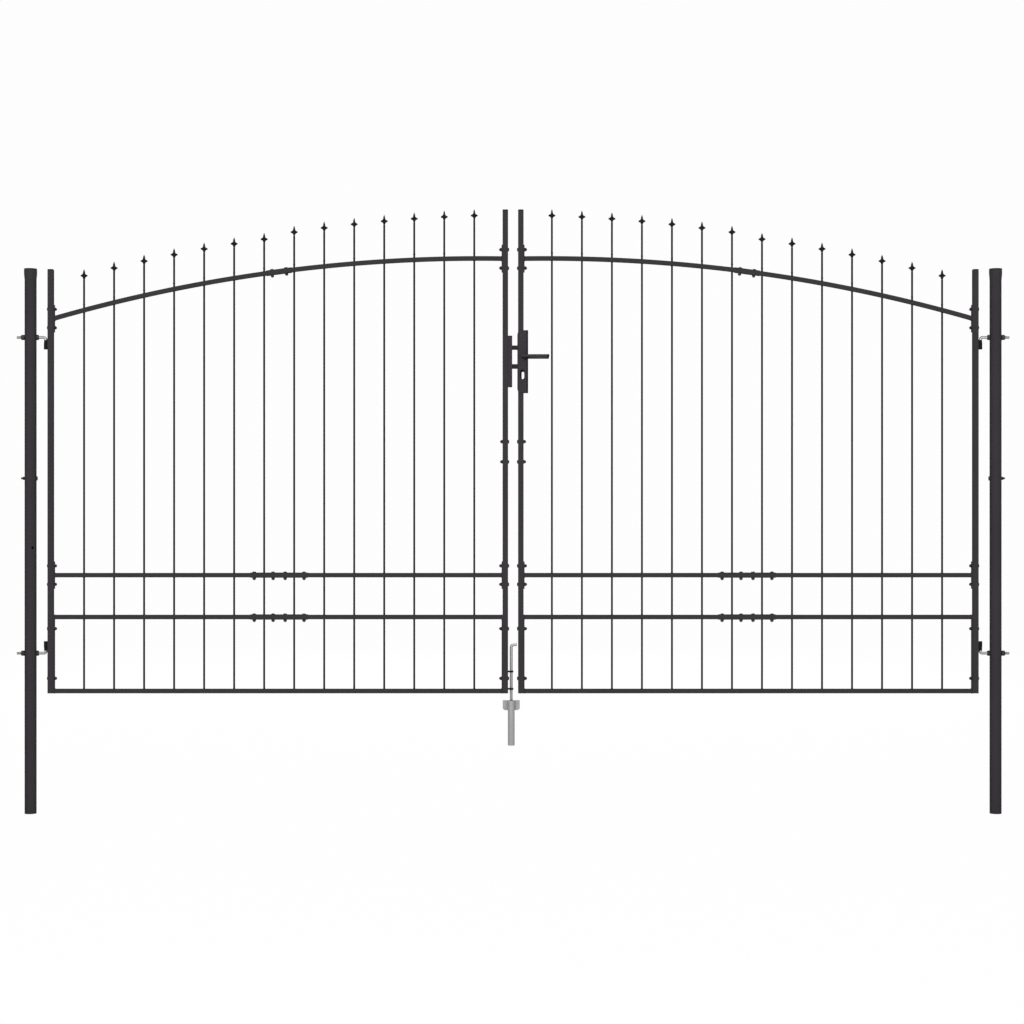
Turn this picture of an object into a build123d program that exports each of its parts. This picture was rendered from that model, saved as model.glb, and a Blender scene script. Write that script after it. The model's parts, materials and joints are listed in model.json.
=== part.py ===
from build123d import *
from math import sqrt
import os

# Arched double driveway gate between two round posts, in millimetres.
# Origin: centre of the left post's foot. +X runs along the gate, +Y through it, +Z up.
# Both leaves open towards +Y. The left leaf is modelled, and the right one mirrors it.

# Layout along the gate
overall_width = 4000.0
post_diameter = 48.0
pin_reach = 63.0
meeting_gap = 41.0

# Posts
post_wall = 2.0
post_tube_height = 2229.0
cap_crown = 3.0
cap_skirt_height = 42.0
cap_rim_diameter = 53.0
cap_belly_diameter = 54.6
cap_belly_drop = 24.0
cap_hem_diameter = 50.0
cap_inner_clearance = 0.2
cap_edge_chamfer = 1.5
post_bolt_height = 1372.0
post_bolt_diameter = 8.0
post_bolt_tail = 14.0
post_bolt_head_diameter = 18.0
post_bolt_head_thickness = 4.5
post_bolt_head_chamfer = 1.8
post_bolt_nut_flats = 13.0
post_bolt_nut_thickness = 7.0
spare_hole_height = 1088.0
spare_hole_diameter = 10.0
spare_hole_angle = 33.0

# Heights of the leaves, from the post's foot or from the underside of the bottom rail
gate_bottom = 492.0
hinge_stile_height = 1736.0
meeting_stile_height = 1980.0
rail_two_height = 312.0
rail_one_height = 483.5
arch_crown_height = 1780.5
arch_crown_from_leaf_edge = 1771.0
arch_radius = 6332.0

# Tubes
stile_side = 22.5
stile_wall = 1.5
rail_side = 18.0
rail_wall = 1.5
stile_cap_height = 5.0
stile_cap_chamfer = 1.0
stile_plug_length = 15.0
slip_clearance = 0.2
stile_splice_height = 989.0
stile_sleeve_length = 124.0

# Bars and their spears, with few sides where a form is small or repeats
bar_diameter = 8.0
bar_sides = 6
rod_sides = 8
bars_in_half_panel = 7
hinge_side_space = 125.0
meeting_side_space = 116.0
outer_spear_rise = 141.0
inner_spear_rise = 154.0
inner_spear_step = 3.6
spear_width = 28.0
spear_arm_end = 5.0
spear_arm_root = 19.0
spear_shoulder = 15.0
spear_tip = 26.5
spear_flank_hollow = 0.55
spear_point_width = 1.2
spear_shoulder_share = 0.9
spear_depth = 8.0
spear_arm_depth = 3.5

# End plates that bolt the half panels to the stiles, and the channels that join the halves
plate_thickness = 4.0
end_plate_height = 112.0
channel_thickness = 1.5
rail_channel_length = 236.0
arch_channel_length = 104.0
bar_notch_clearance = 1.0

# Hinges
rod_diameter = 12.0
rod_tail = 32.0
rod_bend_radius = 9.0
rod_hole_clearance = 0.3
nut_across_flats = 19.0
nut_thickness = 11.0
top_rod_height = 1949.0
bottom_rod_height = 656.0
barrel_diameter = 17.0
barrel_length = 38.0
barrel_from_rod = 11.0
pin_clearance = 0.3

# Lock on the right leaf, measured from the stile's meeting face into the leaf
lock_height = 256.0
lock_bottom = 1721.5
lock_case_width = 41.0
lock_case_depth = 26.0
lock_case_wall = 2.0
lock_case_foot_height = 1815.0
lock_plate_width = 35.0
lock_plate_thickness = 3.0
forend_thickness = 3.0
forend_width = 20.0
forend_height = 246.0
forend_bevel = 12.0
lock_backset = 20.0
latch_height = 1907.0
latch_tall = 17.6
dead_height = 1830.0
dead_tall = 18.8
bolt_depth = 12.0
bolt_clearance = 0.5
bolt_engagement = 8.0
bolt_tail_in_case = 8.0
latch_bevel_share = 0.75
spindle_height = 1871.0
spindle_side = 8.0
lever_neck_diameter = 14.0
lever_neck_length = 34.0
lever_length = 114.0
lever_tall = 12.0
lever_thick = 12.0
lever_chamfer = 3.0
lever_hole_clearance = 0.3
keyhole_height = 1793.0
keyhole_width = 10.6
keyhole_tall = 32.0
plate_keyhole_width = 16.5
plate_keyhole_tall = 40.0
plate_keyhole_height = 1797.0
plate_keyhole_shift = 3.0

# Keep on the left leaf
keep_projection = 17.0
keep_height = 210.0
keep_bottom = 1745.5
keep_depth = 26.0
keep_wall = 2.5

# Drop bolt on the left leaf and its ground socket
drop_diameter = 12.0
drop_from_stile = 13.0
drop_top = 697.0
drop_engagement = 62.0
drop_bend_radius = 12.0
drop_handle_reach = 22.5
drop_clearance = 0.3
guide_diameter = 18.0
guide_tall = 7.0
guide_neck = 8.0
upper_guide_height = 581.0
lower_guide_height = 510.0
socket_top = 462.0
socket_bottom = 278.5
socket_diameter = 28.0
socket_wall = 2.0
socket_plate_width = 70.0
socket_plate_height = 41.0
socket_plate_thickness = 4.0
socket_corner = 7.0

# Places that follow from the sizes above
post_pitch = overall_width - post_diameter
gate_middle = post_pitch / 2
leaf_start = pin_reach + barrel_diameter / 2
leaf_width = gate_middle - leaf_start - meeting_gap / 2
leaf_end = leaf_start + leaf_width
panel_start = leaf_start + stile_side
panel_end = leaf_end - stile_side
bars_in_leaf = 2 * bars_in_half_panel
bar_pitch = (panel_end - panel_start - hinge_side_space - meeting_side_space) / (bars_in_leaf - 1)
first_bar = panel_start + hinge_side_space
splice_x = first_bar + (bars_in_half_panel - 0.5) * bar_pitch
arch_centre_x = leaf_start + arch_crown_from_leaf_edge
arch_centre_z = gate_bottom + arch_crown_height - arch_radius
rail_two_z = gate_bottom + rail_two_height
rail_one_z = gate_bottom + rail_one_height
bottom_rail_z = gate_bottom + rail_side / 2
stile_splice_z = gate_bottom + stile_splice_height
lock_top = lock_bottom + lock_height
bolt_reach = meeting_gap - keep_projection + bolt_engagement
bolt_length = bolt_reach + bolt_tail_in_case
drop_x = leaf_end + drop_from_stile


def block(x0, x1, depth, z0, z1):
    """A box between two X and two Z values, centred on the gate's middle plane."""
    return Pos((x0 + x1) / 2, 0, (z0 + z1) / 2) * Box(abs(x1 - x0), depth, abs(z1 - z0))


def mirrored(shape):
    """The same shape, or list of shapes, on the other leaf."""
    if isinstance(shape, list):
        return [mirrored(piece) for piece in shape]
    return shape.mirror(Plane.YZ.offset(gate_middle))


def rod_z(x, y, z0, z1, diameter):
    """An upright round rod."""
    return Pos(x, y, (z0 + z1) / 2) * Cylinder(diameter / 2, abs(z1 - z0))


def few_sided(across, sides):
    """The section of a thin bar, with its size taken across two flat sides that face the axes."""
    return RegularPolygon(across / 2, sides, major_radius=False, rotation=180 / sides)


def turning_section(diameter):
    """The section of a rod that turns in a hole: its corners lie on the true diameter."""
    return RegularPolygon(diameter / 2, rod_sides, rotation=180 / rod_sides)


def prism_z(x, z0, z1, across, sides):
    """An upright bar with few flat sides."""
    return Pos(x, 0, z0) * extrude(few_sided(across, sides), amount=z1 - z0)


def rod_x(x0, x1, z, across):
    """A small rod or hole along the gate."""
    return Plane.YZ.offset(x0) * Pos(0, z) * extrude(few_sided(across, rod_sides), amount=x1 - x0)


def upright_tube(x0, side, wall, z0, z1):
    """A square tube standing between two heights, its left face at x0."""
    inner = side - 2 * wall
    return block(x0, x0 + side, side, z0, z1) - block(x0 + wall, x0 + wall + inner, inner, z0, z1)


def stile_tube(x0, z0, z1):
    """A length of the stiles' square tube, its left face at x0."""
    return upright_tube(x0, stile_side, stile_wall, z0, z1)


def level_tube(x0, x1, z, side, wall):
    """A square tube lying along the gate, centred on height z."""
    half = side / 2
    inner = half - wall
    return block(x0, x1, side, z - half, z + half) - block(x0, x1, 2 * inner, z - inner, z + inner)


def arch_band(x0, x1, half_height, depth):
    """A curved bar that follows the arch between two uprights."""
    ring = Circle(arch_radius + half_height) - Circle(arch_radius - half_height)
    ring = Pos(arch_centre_x, arch_centre_z) * ring
    reach = arch_radius + half_height
    window = Pos((x0 + x1) / 2, arch_centre_z + reach / 2) * Rectangle(x1 - x0, reach)
    return extrude(Plane.XZ * (ring & window), amount=depth / 2, both=True)


def arch_tube(x0, x1):
    """The square tube of the arch between two uprights."""
    inner = rail_side / 2 - rail_wall
    return arch_band(x0, x1, rail_side / 2, rail_side) - arch_band(x0, x1, inner, 2 * inner)


def arch_height(x):
    """Height of the arch's centre line at x."""
    return arch_centre_z + sqrt(arch_radius**2 - (x - arch_centre_x) ** 2)


def bar_places():
    """The X place of each bar of the left leaf and the height of its spear."""
    places = []
    for index in range(bars_in_leaf):
        x = first_bar + index * bar_pitch
        rise = outer_spear_rise
        if index >= bars_in_half_panel:
            rise = inner_spear_rise + inner_spear_step * (index - bars_in_half_panel)
        places.append((x, arch_height(x) + rise))
    return places


def spear():
    """A four-pointed spear head with hollow flanks, centred on its cross arms."""
    half = spear_width / 2
    neck = bar_diameter / 2
    hollow = 1 - spear_flank_hollow
    arm_x = neck + (half - neck) * hollow
    arm_z = spear_arm_end / 2 + (spear_arm_root - spear_arm_end) / 2 * hollow
    right_side = [
        (0, spear_tip),
        (neck * spear_shoulder_share, spear_shoulder),
        (neck, spear_arm_root / 2),
        (arm_x, arm_z),
        (half, spear_arm_end / 2),
        (half, -spear_arm_end / 2),
        (arm_x, -arm_z),
        (neck, -spear_arm_root / 2),
        (neck, -spear_shoulder),
    ]
    left_side = [(-x, z) for x, z in reversed(right_side[1:])]
    front = make_face(Polyline(*right_side, *left_side, close=True))
    head = extrude(Plane.XZ * front, amount=spear_depth, both=True)
    deep = spear_depth / 2
    thin = spear_arm_depth / 2
    plan = [(-half, -thin), (0, -deep), (half, -thin), (half, thin), (0, deep), (-half, thin)]
    diamond = extrude(make_face(Polyline(*plan, close=True)), amount=spear_shoulder + spear_tip)
    head = head & Pos(0, 0, -spear_shoulder) * diamond
    side = Polyline(
        (-deep, -spear_shoulder),
        (deep, -spear_shoulder),
        (deep, spear_shoulder),
        (spear_point_width / 2, spear_tip),
        (-spear_point_width / 2, spear_tip),
        (-deep, spear_shoulder),
        close=True,
    )
    return head & extrude(Plane.YZ * make_face(side), amount=spear_width, both=True)


def half_panel(inner_half):
    """One welded half of the leaf's panel: arch, rails, bars with spears and end plates."""
    if inner_half:
        x0, x1 = splice_x, panel_end - plate_thickness
        plate_x0, plate_x1 = x1, panel_end
        places = bar_places()[bars_in_half_panel:]
    else:
        x0, x1 = panel_start + plate_thickness, splice_x
        plate_x0, plate_x1 = panel_start, x0
        places = bar_places()[:bars_in_half_panel]
    panel = arch_tube(x0, x1)
    solid_rails = [arch_band(x0, x1, rail_side / 2, rail_side)]
    for z in (rail_one_z, rail_two_z, bottom_rail_z):
        panel += level_tube(x0, x1, z, rail_side, rail_wall)
        solid_rails.append(block(x0, x1, rail_side, z - rail_side / 2, z + rail_side / 2))
    reach = end_plate_height / 2
    for z in (arch_height(plate_x0), rail_one_z):
        panel += block(plate_x0, plate_x1, stile_side, z - reach, z + reach)
    panel += block(plate_x0, plate_x1, stile_side, gate_bottom, rail_two_z + rail_side / 2)
    head = spear()
    for x, z in places:
        bar = prism_z(x, bottom_rail_z, z - spear_arm_root / 2, bar_diameter, bar_sides)
        for rail in solid_rails:
            bar -= rail
        panel += bar
        panel += Pos(x, 0, z) * head
    return panel


def notch_for_bars(channel, height):
    """Open slots in a splice channel for the bars that pass through its flanges."""
    slot = bar_diameter + 2 * bar_notch_clearance
    for x, _ in bar_places():
        channel -= Pos(x, -slot / 2, height) * Box(slot, 2 * slot, 3 * rail_side)
    return channel


def rail_channels():
    """U-shaped channels, open to the front, that join the two halves of each middle rail."""
    inner = rail_side / 2
    outer = inner + channel_thickness
    channels = []
    x0 = splice_x - rail_channel_length / 2
    x1 = splice_x + rail_channel_length / 2
    for z in (rail_one_z, rail_two_z):
        shell = block(x0, x1, rail_side + channel_thickness, z - outer, z + outer)
        shell = Pos(0, channel_thickness / 2, 0) * shell
        shell -= block(x0, x1, rail_side, z - inner, z + inner)
        channels.append(notch_for_bars(shell, z))
    return channels


def arch_channel():
    """The short curved channel that joins the two halves of the arch."""
    x0 = splice_x - arch_channel_length / 2
    x1 = splice_x + arch_channel_length / 2
    outer = rail_side / 2 + channel_thickness
    shell = Pos(0, channel_thickness / 2, 0) * arch_band(x0, x1, outer, rail_side + channel_thickness)
    return shell - arch_band(x0, x1, rail_side / 2, rail_side)


def stile_cap(x0, top):
    """A square cap with a plug that sits in the top of a stile."""
    plug_gap = stile_wall + slip_clearance
    head = block(x0, x0 + stile_side, stile_side, top - stile_cap_height, top)
    head = chamfer(head.faces().sort_by(Axis.Z)[-1].edges(), stile_cap_chamfer)
    plug = block(
        x0 + plug_gap,
        x0 + stile_side - plug_gap,
        stile_side - 2 * plug_gap,
        top - stile_cap_height - stile_plug_length,
        top - stile_cap_height,
    )
    return head + plug


def stile_sleeve():
    """The inner sleeve at the joint of the meeting stile."""
    gap = stile_wall + slip_clearance
    half = stile_sleeve_length / 2
    return upright_tube(
        panel_end + gap, stile_side - 2 * gap, stile_wall, stile_splice_z - half, stile_splice_z + half
    )


def hinge_barrels():
    """The two barrels welded to the hinge stile."""
    barrels = []
    bore = rod_diameter + 2 * pin_clearance
    for z0 in (top_rod_height - barrel_from_rod - barrel_length, bottom_rod_height + barrel_from_rod):
        tube = rod_z(pin_reach, 0, z0, z0 + barrel_length, barrel_diameter)
        barrels.append(tube - prism_z(pin_reach, z0, z0 + barrel_length, bore, rod_sides))
    return barrels


def hinge_rod(height, up):
    """A threaded rod through the post that bends into the barrel as its pin."""
    turn = rod_bend_radius if up else -rod_bend_radius
    pin_end = height + (barrel_from_rod + barrel_length) * (1 if up else -1)
    start = -post_diameter / 2 - rod_tail
    with BuildLine(Plane.XZ) as path:
        run = Line((start, height), (pin_reach - rod_bend_radius, height))
        bend = TangentArc(run @ 1, (pin_reach, height + turn), tangent=run % 1)
        Line(bend @ 1, (pin_reach, pin_end))
    section = Plane.YZ.offset(start) * Pos(0, height) * turning_section(rod_diameter)
    return sweep(section, path=path.line)


def hex_nut(x0, z, flats, thick, hole):
    """A hexagon nut on a rod that runs along X, its first face at x0."""
    hexagon = RegularPolygon(flats / 2, 6, major_radius=False)
    body = Plane.YZ.offset(x0) * Pos(0, z) * extrude(hexagon, amount=thick)
    return body - rod_x(x0, x0 + thick, z, hole)


def hinge_nuts():
    """The four nuts that clamp the left post's two hinge rods."""
    hole = rod_diameter + rod_hole_clearance
    nuts = []
    for z in (top_rod_height, bottom_rod_height):
        for x0 in (-post_diameter / 2 - nut_thickness, post_diameter / 2):
            nuts.append(hex_nut(x0, z, nut_across_flats, nut_thickness, hole))
    return nuts


def punched_hole(z, rod):
    """A square hole punched through both walls of the post, under the nuts."""
    side = rod + 2 * rod_hole_clearance
    return Pos(0, 0, z) * Box(2 * post_diameter, side, side)


def post(with_spare_hole):
    """A round post tube with its cross holes."""
    tube = rod_z(0, 0, 0, post_tube_height, post_diameter)
    tube -= rod_z(0, 0, 0, post_tube_height, post_diameter - 2 * post_wall)
    for z in (top_rod_height, bottom_rod_height):
        tube -= punched_hole(z, rod_diameter)
    tube -= punched_hole(post_bolt_height, post_bolt_diameter)
    if with_spare_hole:
        drill = extrude(few_sided(spare_hole_diameter, rod_sides), amount=post_diameter)
        tube -= Rot(0, 0, spare_hole_angle) * Pos(0, 0, spare_hole_height) * Rot(90, 0, 0) * drill
    return tube


def post_cap():
    """A push-on cap with a proud rim, a soft belly and a drawn-in hem."""
    top = post_tube_height + cap_crown
    hem_z = post_tube_height - cap_skirt_height
    inner = post_diameter / 2 + cap_inner_clearance
    with BuildSketch(Plane.XZ) as half:
        with BuildLine():
            crown = Line((0, top), (cap_rim_diameter / 2 - cap_edge_chamfer, top))
            lip = Line(crown @ 1, (cap_rim_diameter / 2, top - cap_edge_chamfer))
            belly = (cap_belly_diameter / 2, top - cap_belly_drop)
            flank = ThreePointArc(lip @ 1, belly, (cap_hem_diameter / 2, hem_z))
            hem = Line(flank @ 1, (inner, hem_z))
            bore = Line(hem @ 1, (inner, post_tube_height))
            Line(bore @ 1, (0, post_tube_height))
            Line((0, post_tube_height), (0, top))
        make_face()
    return revolve(half.sketch, axis=Axis.Z)


def post_bolt():
    """The spare carriage bolt through the post, its nut on the outer side."""
    half = post_diameter / 2
    z = post_bolt_height
    shank = rod_x(-half - post_bolt_tail, half, z, post_bolt_diameter)
    head = rod_x(half, half + post_bolt_head_thickness, z, post_bolt_head_diameter)
    head = chamfer(head.faces().sort_by(Axis.X)[-1].edges(), post_bolt_head_chamfer)
    thick = post_bolt_nut_thickness
    nut = hex_nut(-half - thick, z, post_bolt_nut_flats, thick, post_bolt_diameter)
    return shank + head + nut


def meeting_stile_upper_right():
    """The upper right meeting stile, cut away for the lock but for its meeting wall."""
    stile = mirrored(stile_tube(panel_end, stile_splice_z, stile_tube_top()))
    face = lock_face()
    stile -= block(face + stile_wall, face + stile_side, lock_case_depth, lock_bottom, lock_top)
    return cut_bolt_slots(stile)


def stile_tube_top():
    """Top of the meeting stile's tube, under its cap."""
    return gate_bottom + meeting_stile_height - stile_cap_height


def lock_face():
    """X place of the right stile's meeting face."""
    return 2 * gate_middle - leaf_end


def cut_bolt_slots(shape):
    """Slots through which the latch and the dead bolt pass."""
    x0 = lock_face() - 2 * forend_thickness
    x1 = lock_face() + 3 * stile_wall
    deep = bolt_depth + 2 * bolt_clearance
    for z, tall in ((latch_height, latch_tall), (dead_height, dead_tall)):
        high = tall / 2 + bolt_clearance
        shape -= block(x0, x1, deep, z - high, z + high)
    return shape


def slot_y(x, z, wide, tall, depth):
    """An upright round-ended block through the gate."""
    outline = Plane.XZ * SlotOverall(tall, wide, rotation=90)
    return Pos(x, 0, z) * extrude(outline, amount=depth / 2, both=True)


def spindle_hole():
    """The hole through the lock for the necks of the levers."""
    across = lever_neck_diameter + 2 * lever_hole_clearance
    hole = extrude(few_sided(across, rod_sides), amount=2 * lock_case_depth, both=True)
    return Pos(lock_face() + lock_backset, 0, spindle_height) * Rot(90, 0, 0) * hole


def lock_case():
    """The hollow upper case that holds the latch, the dead bolt and the spindle."""
    x0 = lock_face() + stile_wall
    x1 = lock_face() + lock_case_width
    wall = lock_case_wall
    case = block(x0, x1, lock_case_depth, lock_case_foot_height, lock_top)
    case -= block(
        x0 + wall, x1 - wall, lock_case_depth - 2 * wall, lock_case_foot_height + wall, lock_top - wall
    )
    return cut_bolt_slots(case - spindle_hole())


def cylinder_housing():
    """The lower end of the lock, with the keyhole for a key cylinder through it."""
    x0 = lock_face() + stile_wall
    x1 = lock_face() + lock_case_width
    housing = block(x0, x1, lock_case_depth, lock_bottom, lock_case_foot_height)
    keyhole_x = lock_face() + lock_backset
    return housing - slot_y(keyhole_x, keyhole_height, keyhole_width, keyhole_tall, 2 * lock_case_depth)


def lock_plates():
    """The cover plates on both faces of the lock case."""
    plates = []
    face = lock_face()
    keyhole_x = face + lock_backset - plate_keyhole_shift
    through = 3 * lock_case_depth
    plate = block(face, face + lock_plate_width, lock_plate_thickness, lock_bottom, lock_top)
    plate -= slot_y(keyhole_x, plate_keyhole_height, plate_keyhole_width, plate_keyhole_tall, through)
    plate -= spindle_hole()
    for side in (-1, 1):
        plates.append(Pos(0, side * (lock_case_depth + lock_plate_thickness) / 2, 0) * plate)
    return plates


def lock_forend():
    """The thin faceplate on the meeting face, with bevelled ends."""
    face = lock_face()
    middle = (lock_bottom + lock_top) / 2
    low = middle - forend_height / 2
    high = middle + forend_height / 2
    outline = Polyline(
        (face, low),
        (face, high),
        (face - forend_thickness, high - forend_bevel),
        (face - forend_thickness, low + forend_bevel),
        close=True,
    )
    return cut_bolt_slots(extrude(Plane.XZ * make_face(outline), amount=forend_width / 2, both=True))


def lock_bolt(height, tall, bevelled):
    """A bolt thrown from the lock into the keep."""
    tip = lock_face() - bolt_reach
    bolt = block(tip, tip + bolt_length, bolt_depth, height - tall / 2, height + tall / 2)
    if bevelled:
        nose = bolt.faces().sort_by(Axis.X)[0].edges().filter_by(Axis.Z).sort_by(Axis.Y)[-1]
        return chamfer(nose, bolt_depth * latch_bevel_share)
    return bolt


def lever():
    """The two lever handles on their common square spindle."""
    x = lock_face() + lock_backset
    plate_face = lock_case_depth / 2 + lock_plate_thickness
    handle = Pos(x, 0, spindle_height) * Box(spindle_side, 2 * plate_face, spindle_side)
    grip = Box(lever_length, lever_thick, lever_tall, align=(Align.MIN, Align.CENTER, Align.CENTER))
    grip = chamfer(grip.edges().filter_by(Axis.X), lever_chamfer)
    section = turning_section(lever_neck_diameter)
    for side in (-1, 1):
        neck_end = side * (plate_face + lever_neck_length)
        grip_y = neck_end - side * lever_thick / 2
        handle += Plane.XZ * Pos(x, spindle_height) * extrude(section, amount=-neck_end)
        handle += Pos(x - lever_neck_diameter / 2, grip_y, spindle_height) * grip
    return handle


def keep():
    """A channel-shaped keep with a slot for each bolt, open at both ends."""
    x1 = leaf_end + keep_projection
    top = keep_bottom + keep_height
    inner = keep_depth - 2 * keep_wall
    slot = bolt_depth + 2 * bolt_clearance
    shell = block(leaf_end, x1, keep_depth, keep_bottom, top)
    shell -= block(leaf_end, x1 - keep_wall, inner, keep_bottom, top)
    for z, tall in ((latch_height, latch_tall), (dead_height, dead_tall)):
        high = tall / 2 + bolt_clearance
        shell -= block(x1 - 2 * keep_wall, x1 + keep_wall, slot, z - high, z + high)
    return shell


def drop_bolt():
    """The round drop bolt with its bent handle."""
    low = socket_top - drop_engagement
    handle_z = drop_top - drop_diameter / 2
    with BuildLine(Plane.XZ) as path:
        run = Line((drop_x, low), (drop_x, handle_z - drop_bend_radius))
        bend = TangentArc(run @ 1, (drop_x + drop_bend_radius, handle_z), tangent=run % 1)
        Line(bend @ 1, (drop_x + drop_handle_reach, handle_z))
    section = Plane.XY.offset(low) * Pos(drop_x, 0) * turning_section(drop_diameter)
    return sweep(section, path=path.line)


def drop_guides():
    """The two eyes on the left meeting stile that guide the drop bolt."""
    guides = []
    bore = drop_diameter + 2 * drop_clearance
    for z in (upper_guide_height, lower_guide_height):
        low, high = z - guide_tall / 2, z + guide_tall / 2
        eye = prism_z(drop_x, low, high, guide_diameter, rod_sides)
        eye += block(leaf_end, drop_x, guide_neck, low, high)
        guides.append(eye - prism_z(drop_x, low, high, bore, rod_sides))
    return guides


def socket_tube():
    """The tube of the ground socket."""
    tube = rod_z(drop_x, 0, socket_bottom, socket_top, socket_diameter)
    return tube - rod_z(drop_x, 0, socket_bottom, socket_top, socket_diameter - 2 * socket_wall)


def socket_plate():
    """The flat wing plate welded behind the top of the ground socket."""
    half = socket_plate_width / 2
    low = socket_top - socket_plate_height
    outline = Polyline(
        (-half, socket_top),
        (half, socket_top),
        (half, low + socket_corner),
        (half - socket_corner, low),
        (socket_corner - half, low),
        (-half, low + socket_corner),
        close=True,
    )
    y = socket_diameter / 2 + socket_plate_thickness / 2
    plate = extrude(Plane.XZ * make_face(outline), amount=socket_plate_thickness / 2, both=True)
    return Pos(drop_x, y, 0) * plate


def leaf_nodes():
    """The nodes of the left leaf that the right leaf mirrors."""
    hinge_top = gate_bottom + hinge_stile_height
    hinge_tube_top = hinge_top - stile_cap_height
    meeting_top = gate_bottom + meeting_stile_height
    return {
        "hinge_stile": stile_tube(leaf_start, gate_bottom, hinge_tube_top),
        "hinge_stile_cap": stile_cap(leaf_start, hinge_top),
        "meeting_stile_lower": stile_tube(panel_end, gate_bottom, stile_splice_z),
        "meeting_stile_cap": stile_cap(panel_end, meeting_top),
        "stile_splice_sleeve": stile_sleeve(),
        "hinge_barrels": hinge_barrels(),
        "outer_half_panel": half_panel(False),
        "inner_half_panel": half_panel(True),
        "rail_splice_channels": rail_channels(),
        "arch_splice_channel": arch_channel(),
    }


def post_nodes():
    """The nodes at the left post that the right post mirrors."""
    return {
        "post_cap": post_cap(),
        "post_bolt": post_bolt(),
        "top_hinge_rod": hinge_rod(top_rod_height, False),
        "bottom_hinge_rod": hinge_rod(bottom_rod_height, True),
        "hinge_nuts": hinge_nuts(),
    }


def all_nodes():
    """Every node of the gate by name."""
    nodes = {}
    for name, shape in {**leaf_nodes(), **post_nodes()}.items():
        nodes["left_" + name] = shape
        nodes["right_" + name] = mirrored(shape)
    nodes["left_post"] = post(True)
    nodes["right_post"] = mirrored(post(False))
    nodes["left_meeting_stile_upper"] = stile_tube(panel_end, stile_splice_z, stile_tube_top())
    nodes["right_meeting_stile_upper"] = meeting_stile_upper_right()
    nodes["lock_case"] = lock_case()
    nodes["cylinder_housing"] = cylinder_housing()
    nodes["lock_plates"] = lock_plates()
    nodes["lock_forend"] = lock_forend()
    nodes["latch_bolt"] = lock_bolt(latch_height, latch_tall, True)
    nodes["dead_bolt"] = lock_bolt(dead_height, dead_tall, False)
    nodes["lever_handles"] = lever()
    nodes["strike_keep"] = keep()
    nodes["drop_bolt"] = drop_bolt()
    nodes["drop_bolt_guides"] = drop_guides()
    nodes["ground_socket_tube"] = socket_tube()
    nodes["ground_socket_plate"] = socket_plate()
    return nodes


os.makedirs("parts", exist_ok=True)
for name, shape in all_nodes().items():
    if isinstance(shape, list):
        shape = Compound(children=shape)
    export_step(shape, "parts/" + name + ".step")
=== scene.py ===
"""Looks of the arched double driveway gate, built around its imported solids, in metres."""

import json
import logging
import math
from dataclasses import dataclass
from enum import Enum
from functools import cache
from typing import Callable, Iterable

import bmesh
import bpy
from mathutils import Matrix, Vector


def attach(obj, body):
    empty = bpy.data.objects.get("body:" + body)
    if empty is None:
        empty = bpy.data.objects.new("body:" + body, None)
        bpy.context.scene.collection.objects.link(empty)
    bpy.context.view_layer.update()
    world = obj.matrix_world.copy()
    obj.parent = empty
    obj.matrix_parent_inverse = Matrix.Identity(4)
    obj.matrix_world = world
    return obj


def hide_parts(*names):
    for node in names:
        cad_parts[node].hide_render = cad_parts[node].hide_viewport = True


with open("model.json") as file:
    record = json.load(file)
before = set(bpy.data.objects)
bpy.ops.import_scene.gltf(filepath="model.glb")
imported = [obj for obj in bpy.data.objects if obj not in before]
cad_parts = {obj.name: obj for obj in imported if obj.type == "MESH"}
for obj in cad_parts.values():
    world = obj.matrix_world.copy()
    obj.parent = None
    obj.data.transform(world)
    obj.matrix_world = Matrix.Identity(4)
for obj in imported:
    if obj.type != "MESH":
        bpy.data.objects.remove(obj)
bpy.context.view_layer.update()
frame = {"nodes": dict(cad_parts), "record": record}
LOG = logging.getLogger("gate")

Colour = tuple[float, float, float]
Place = tuple[float, float, float]
Piece = bpy.types.Object
Socket = bpy.types.NodeSocket
Test = Callable[[Vector, Vector], bool]

MM = 0.001
MERGE_DISTANCE = 1e-6
HEXAGON = 6
ORIGIN: Place = (0.0, 0.0, 0.0)


class Body(Enum):
    """The bodies that pieces ride on."""

    POSTS = "posts"
    LEFT_LEAF = "left_leaf"
    RIGHT_LEAF = "right_leaf"
    LEVER = "lever"
    DROP = "drop"


LEAVES = (Body.LEFT_LEAF, Body.RIGHT_LEAF)


class Half(Enum):
    """The two welded halves of a leaf's panel."""

    OUTER = "outer"
    INNER = "inner"


class Direction(Enum):
    """The way a rod or a fastener points."""

    X = (1.0, 0.0, 0.0)
    Y = (0.0, 1.0, 0.0)
    Z = (0.0, 0.0, 1.0)

    @property
    def vector(self) -> Vector:
        """The direction as a vector."""
        return Vector(self.value)

    @property
    def turn(self) -> Place:
        """Finds the turn that lays a Z primitive along this direction.

        Returns:
            The Euler angles.
        """
        return {
            Direction.X: (0.0, math.pi / 2, 0.0),
            Direction.Y: (-math.pi / 2, 0.0, 0.0),
            Direction.Z: (0.0, 0.0, 0.0),
        }[self]


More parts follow.
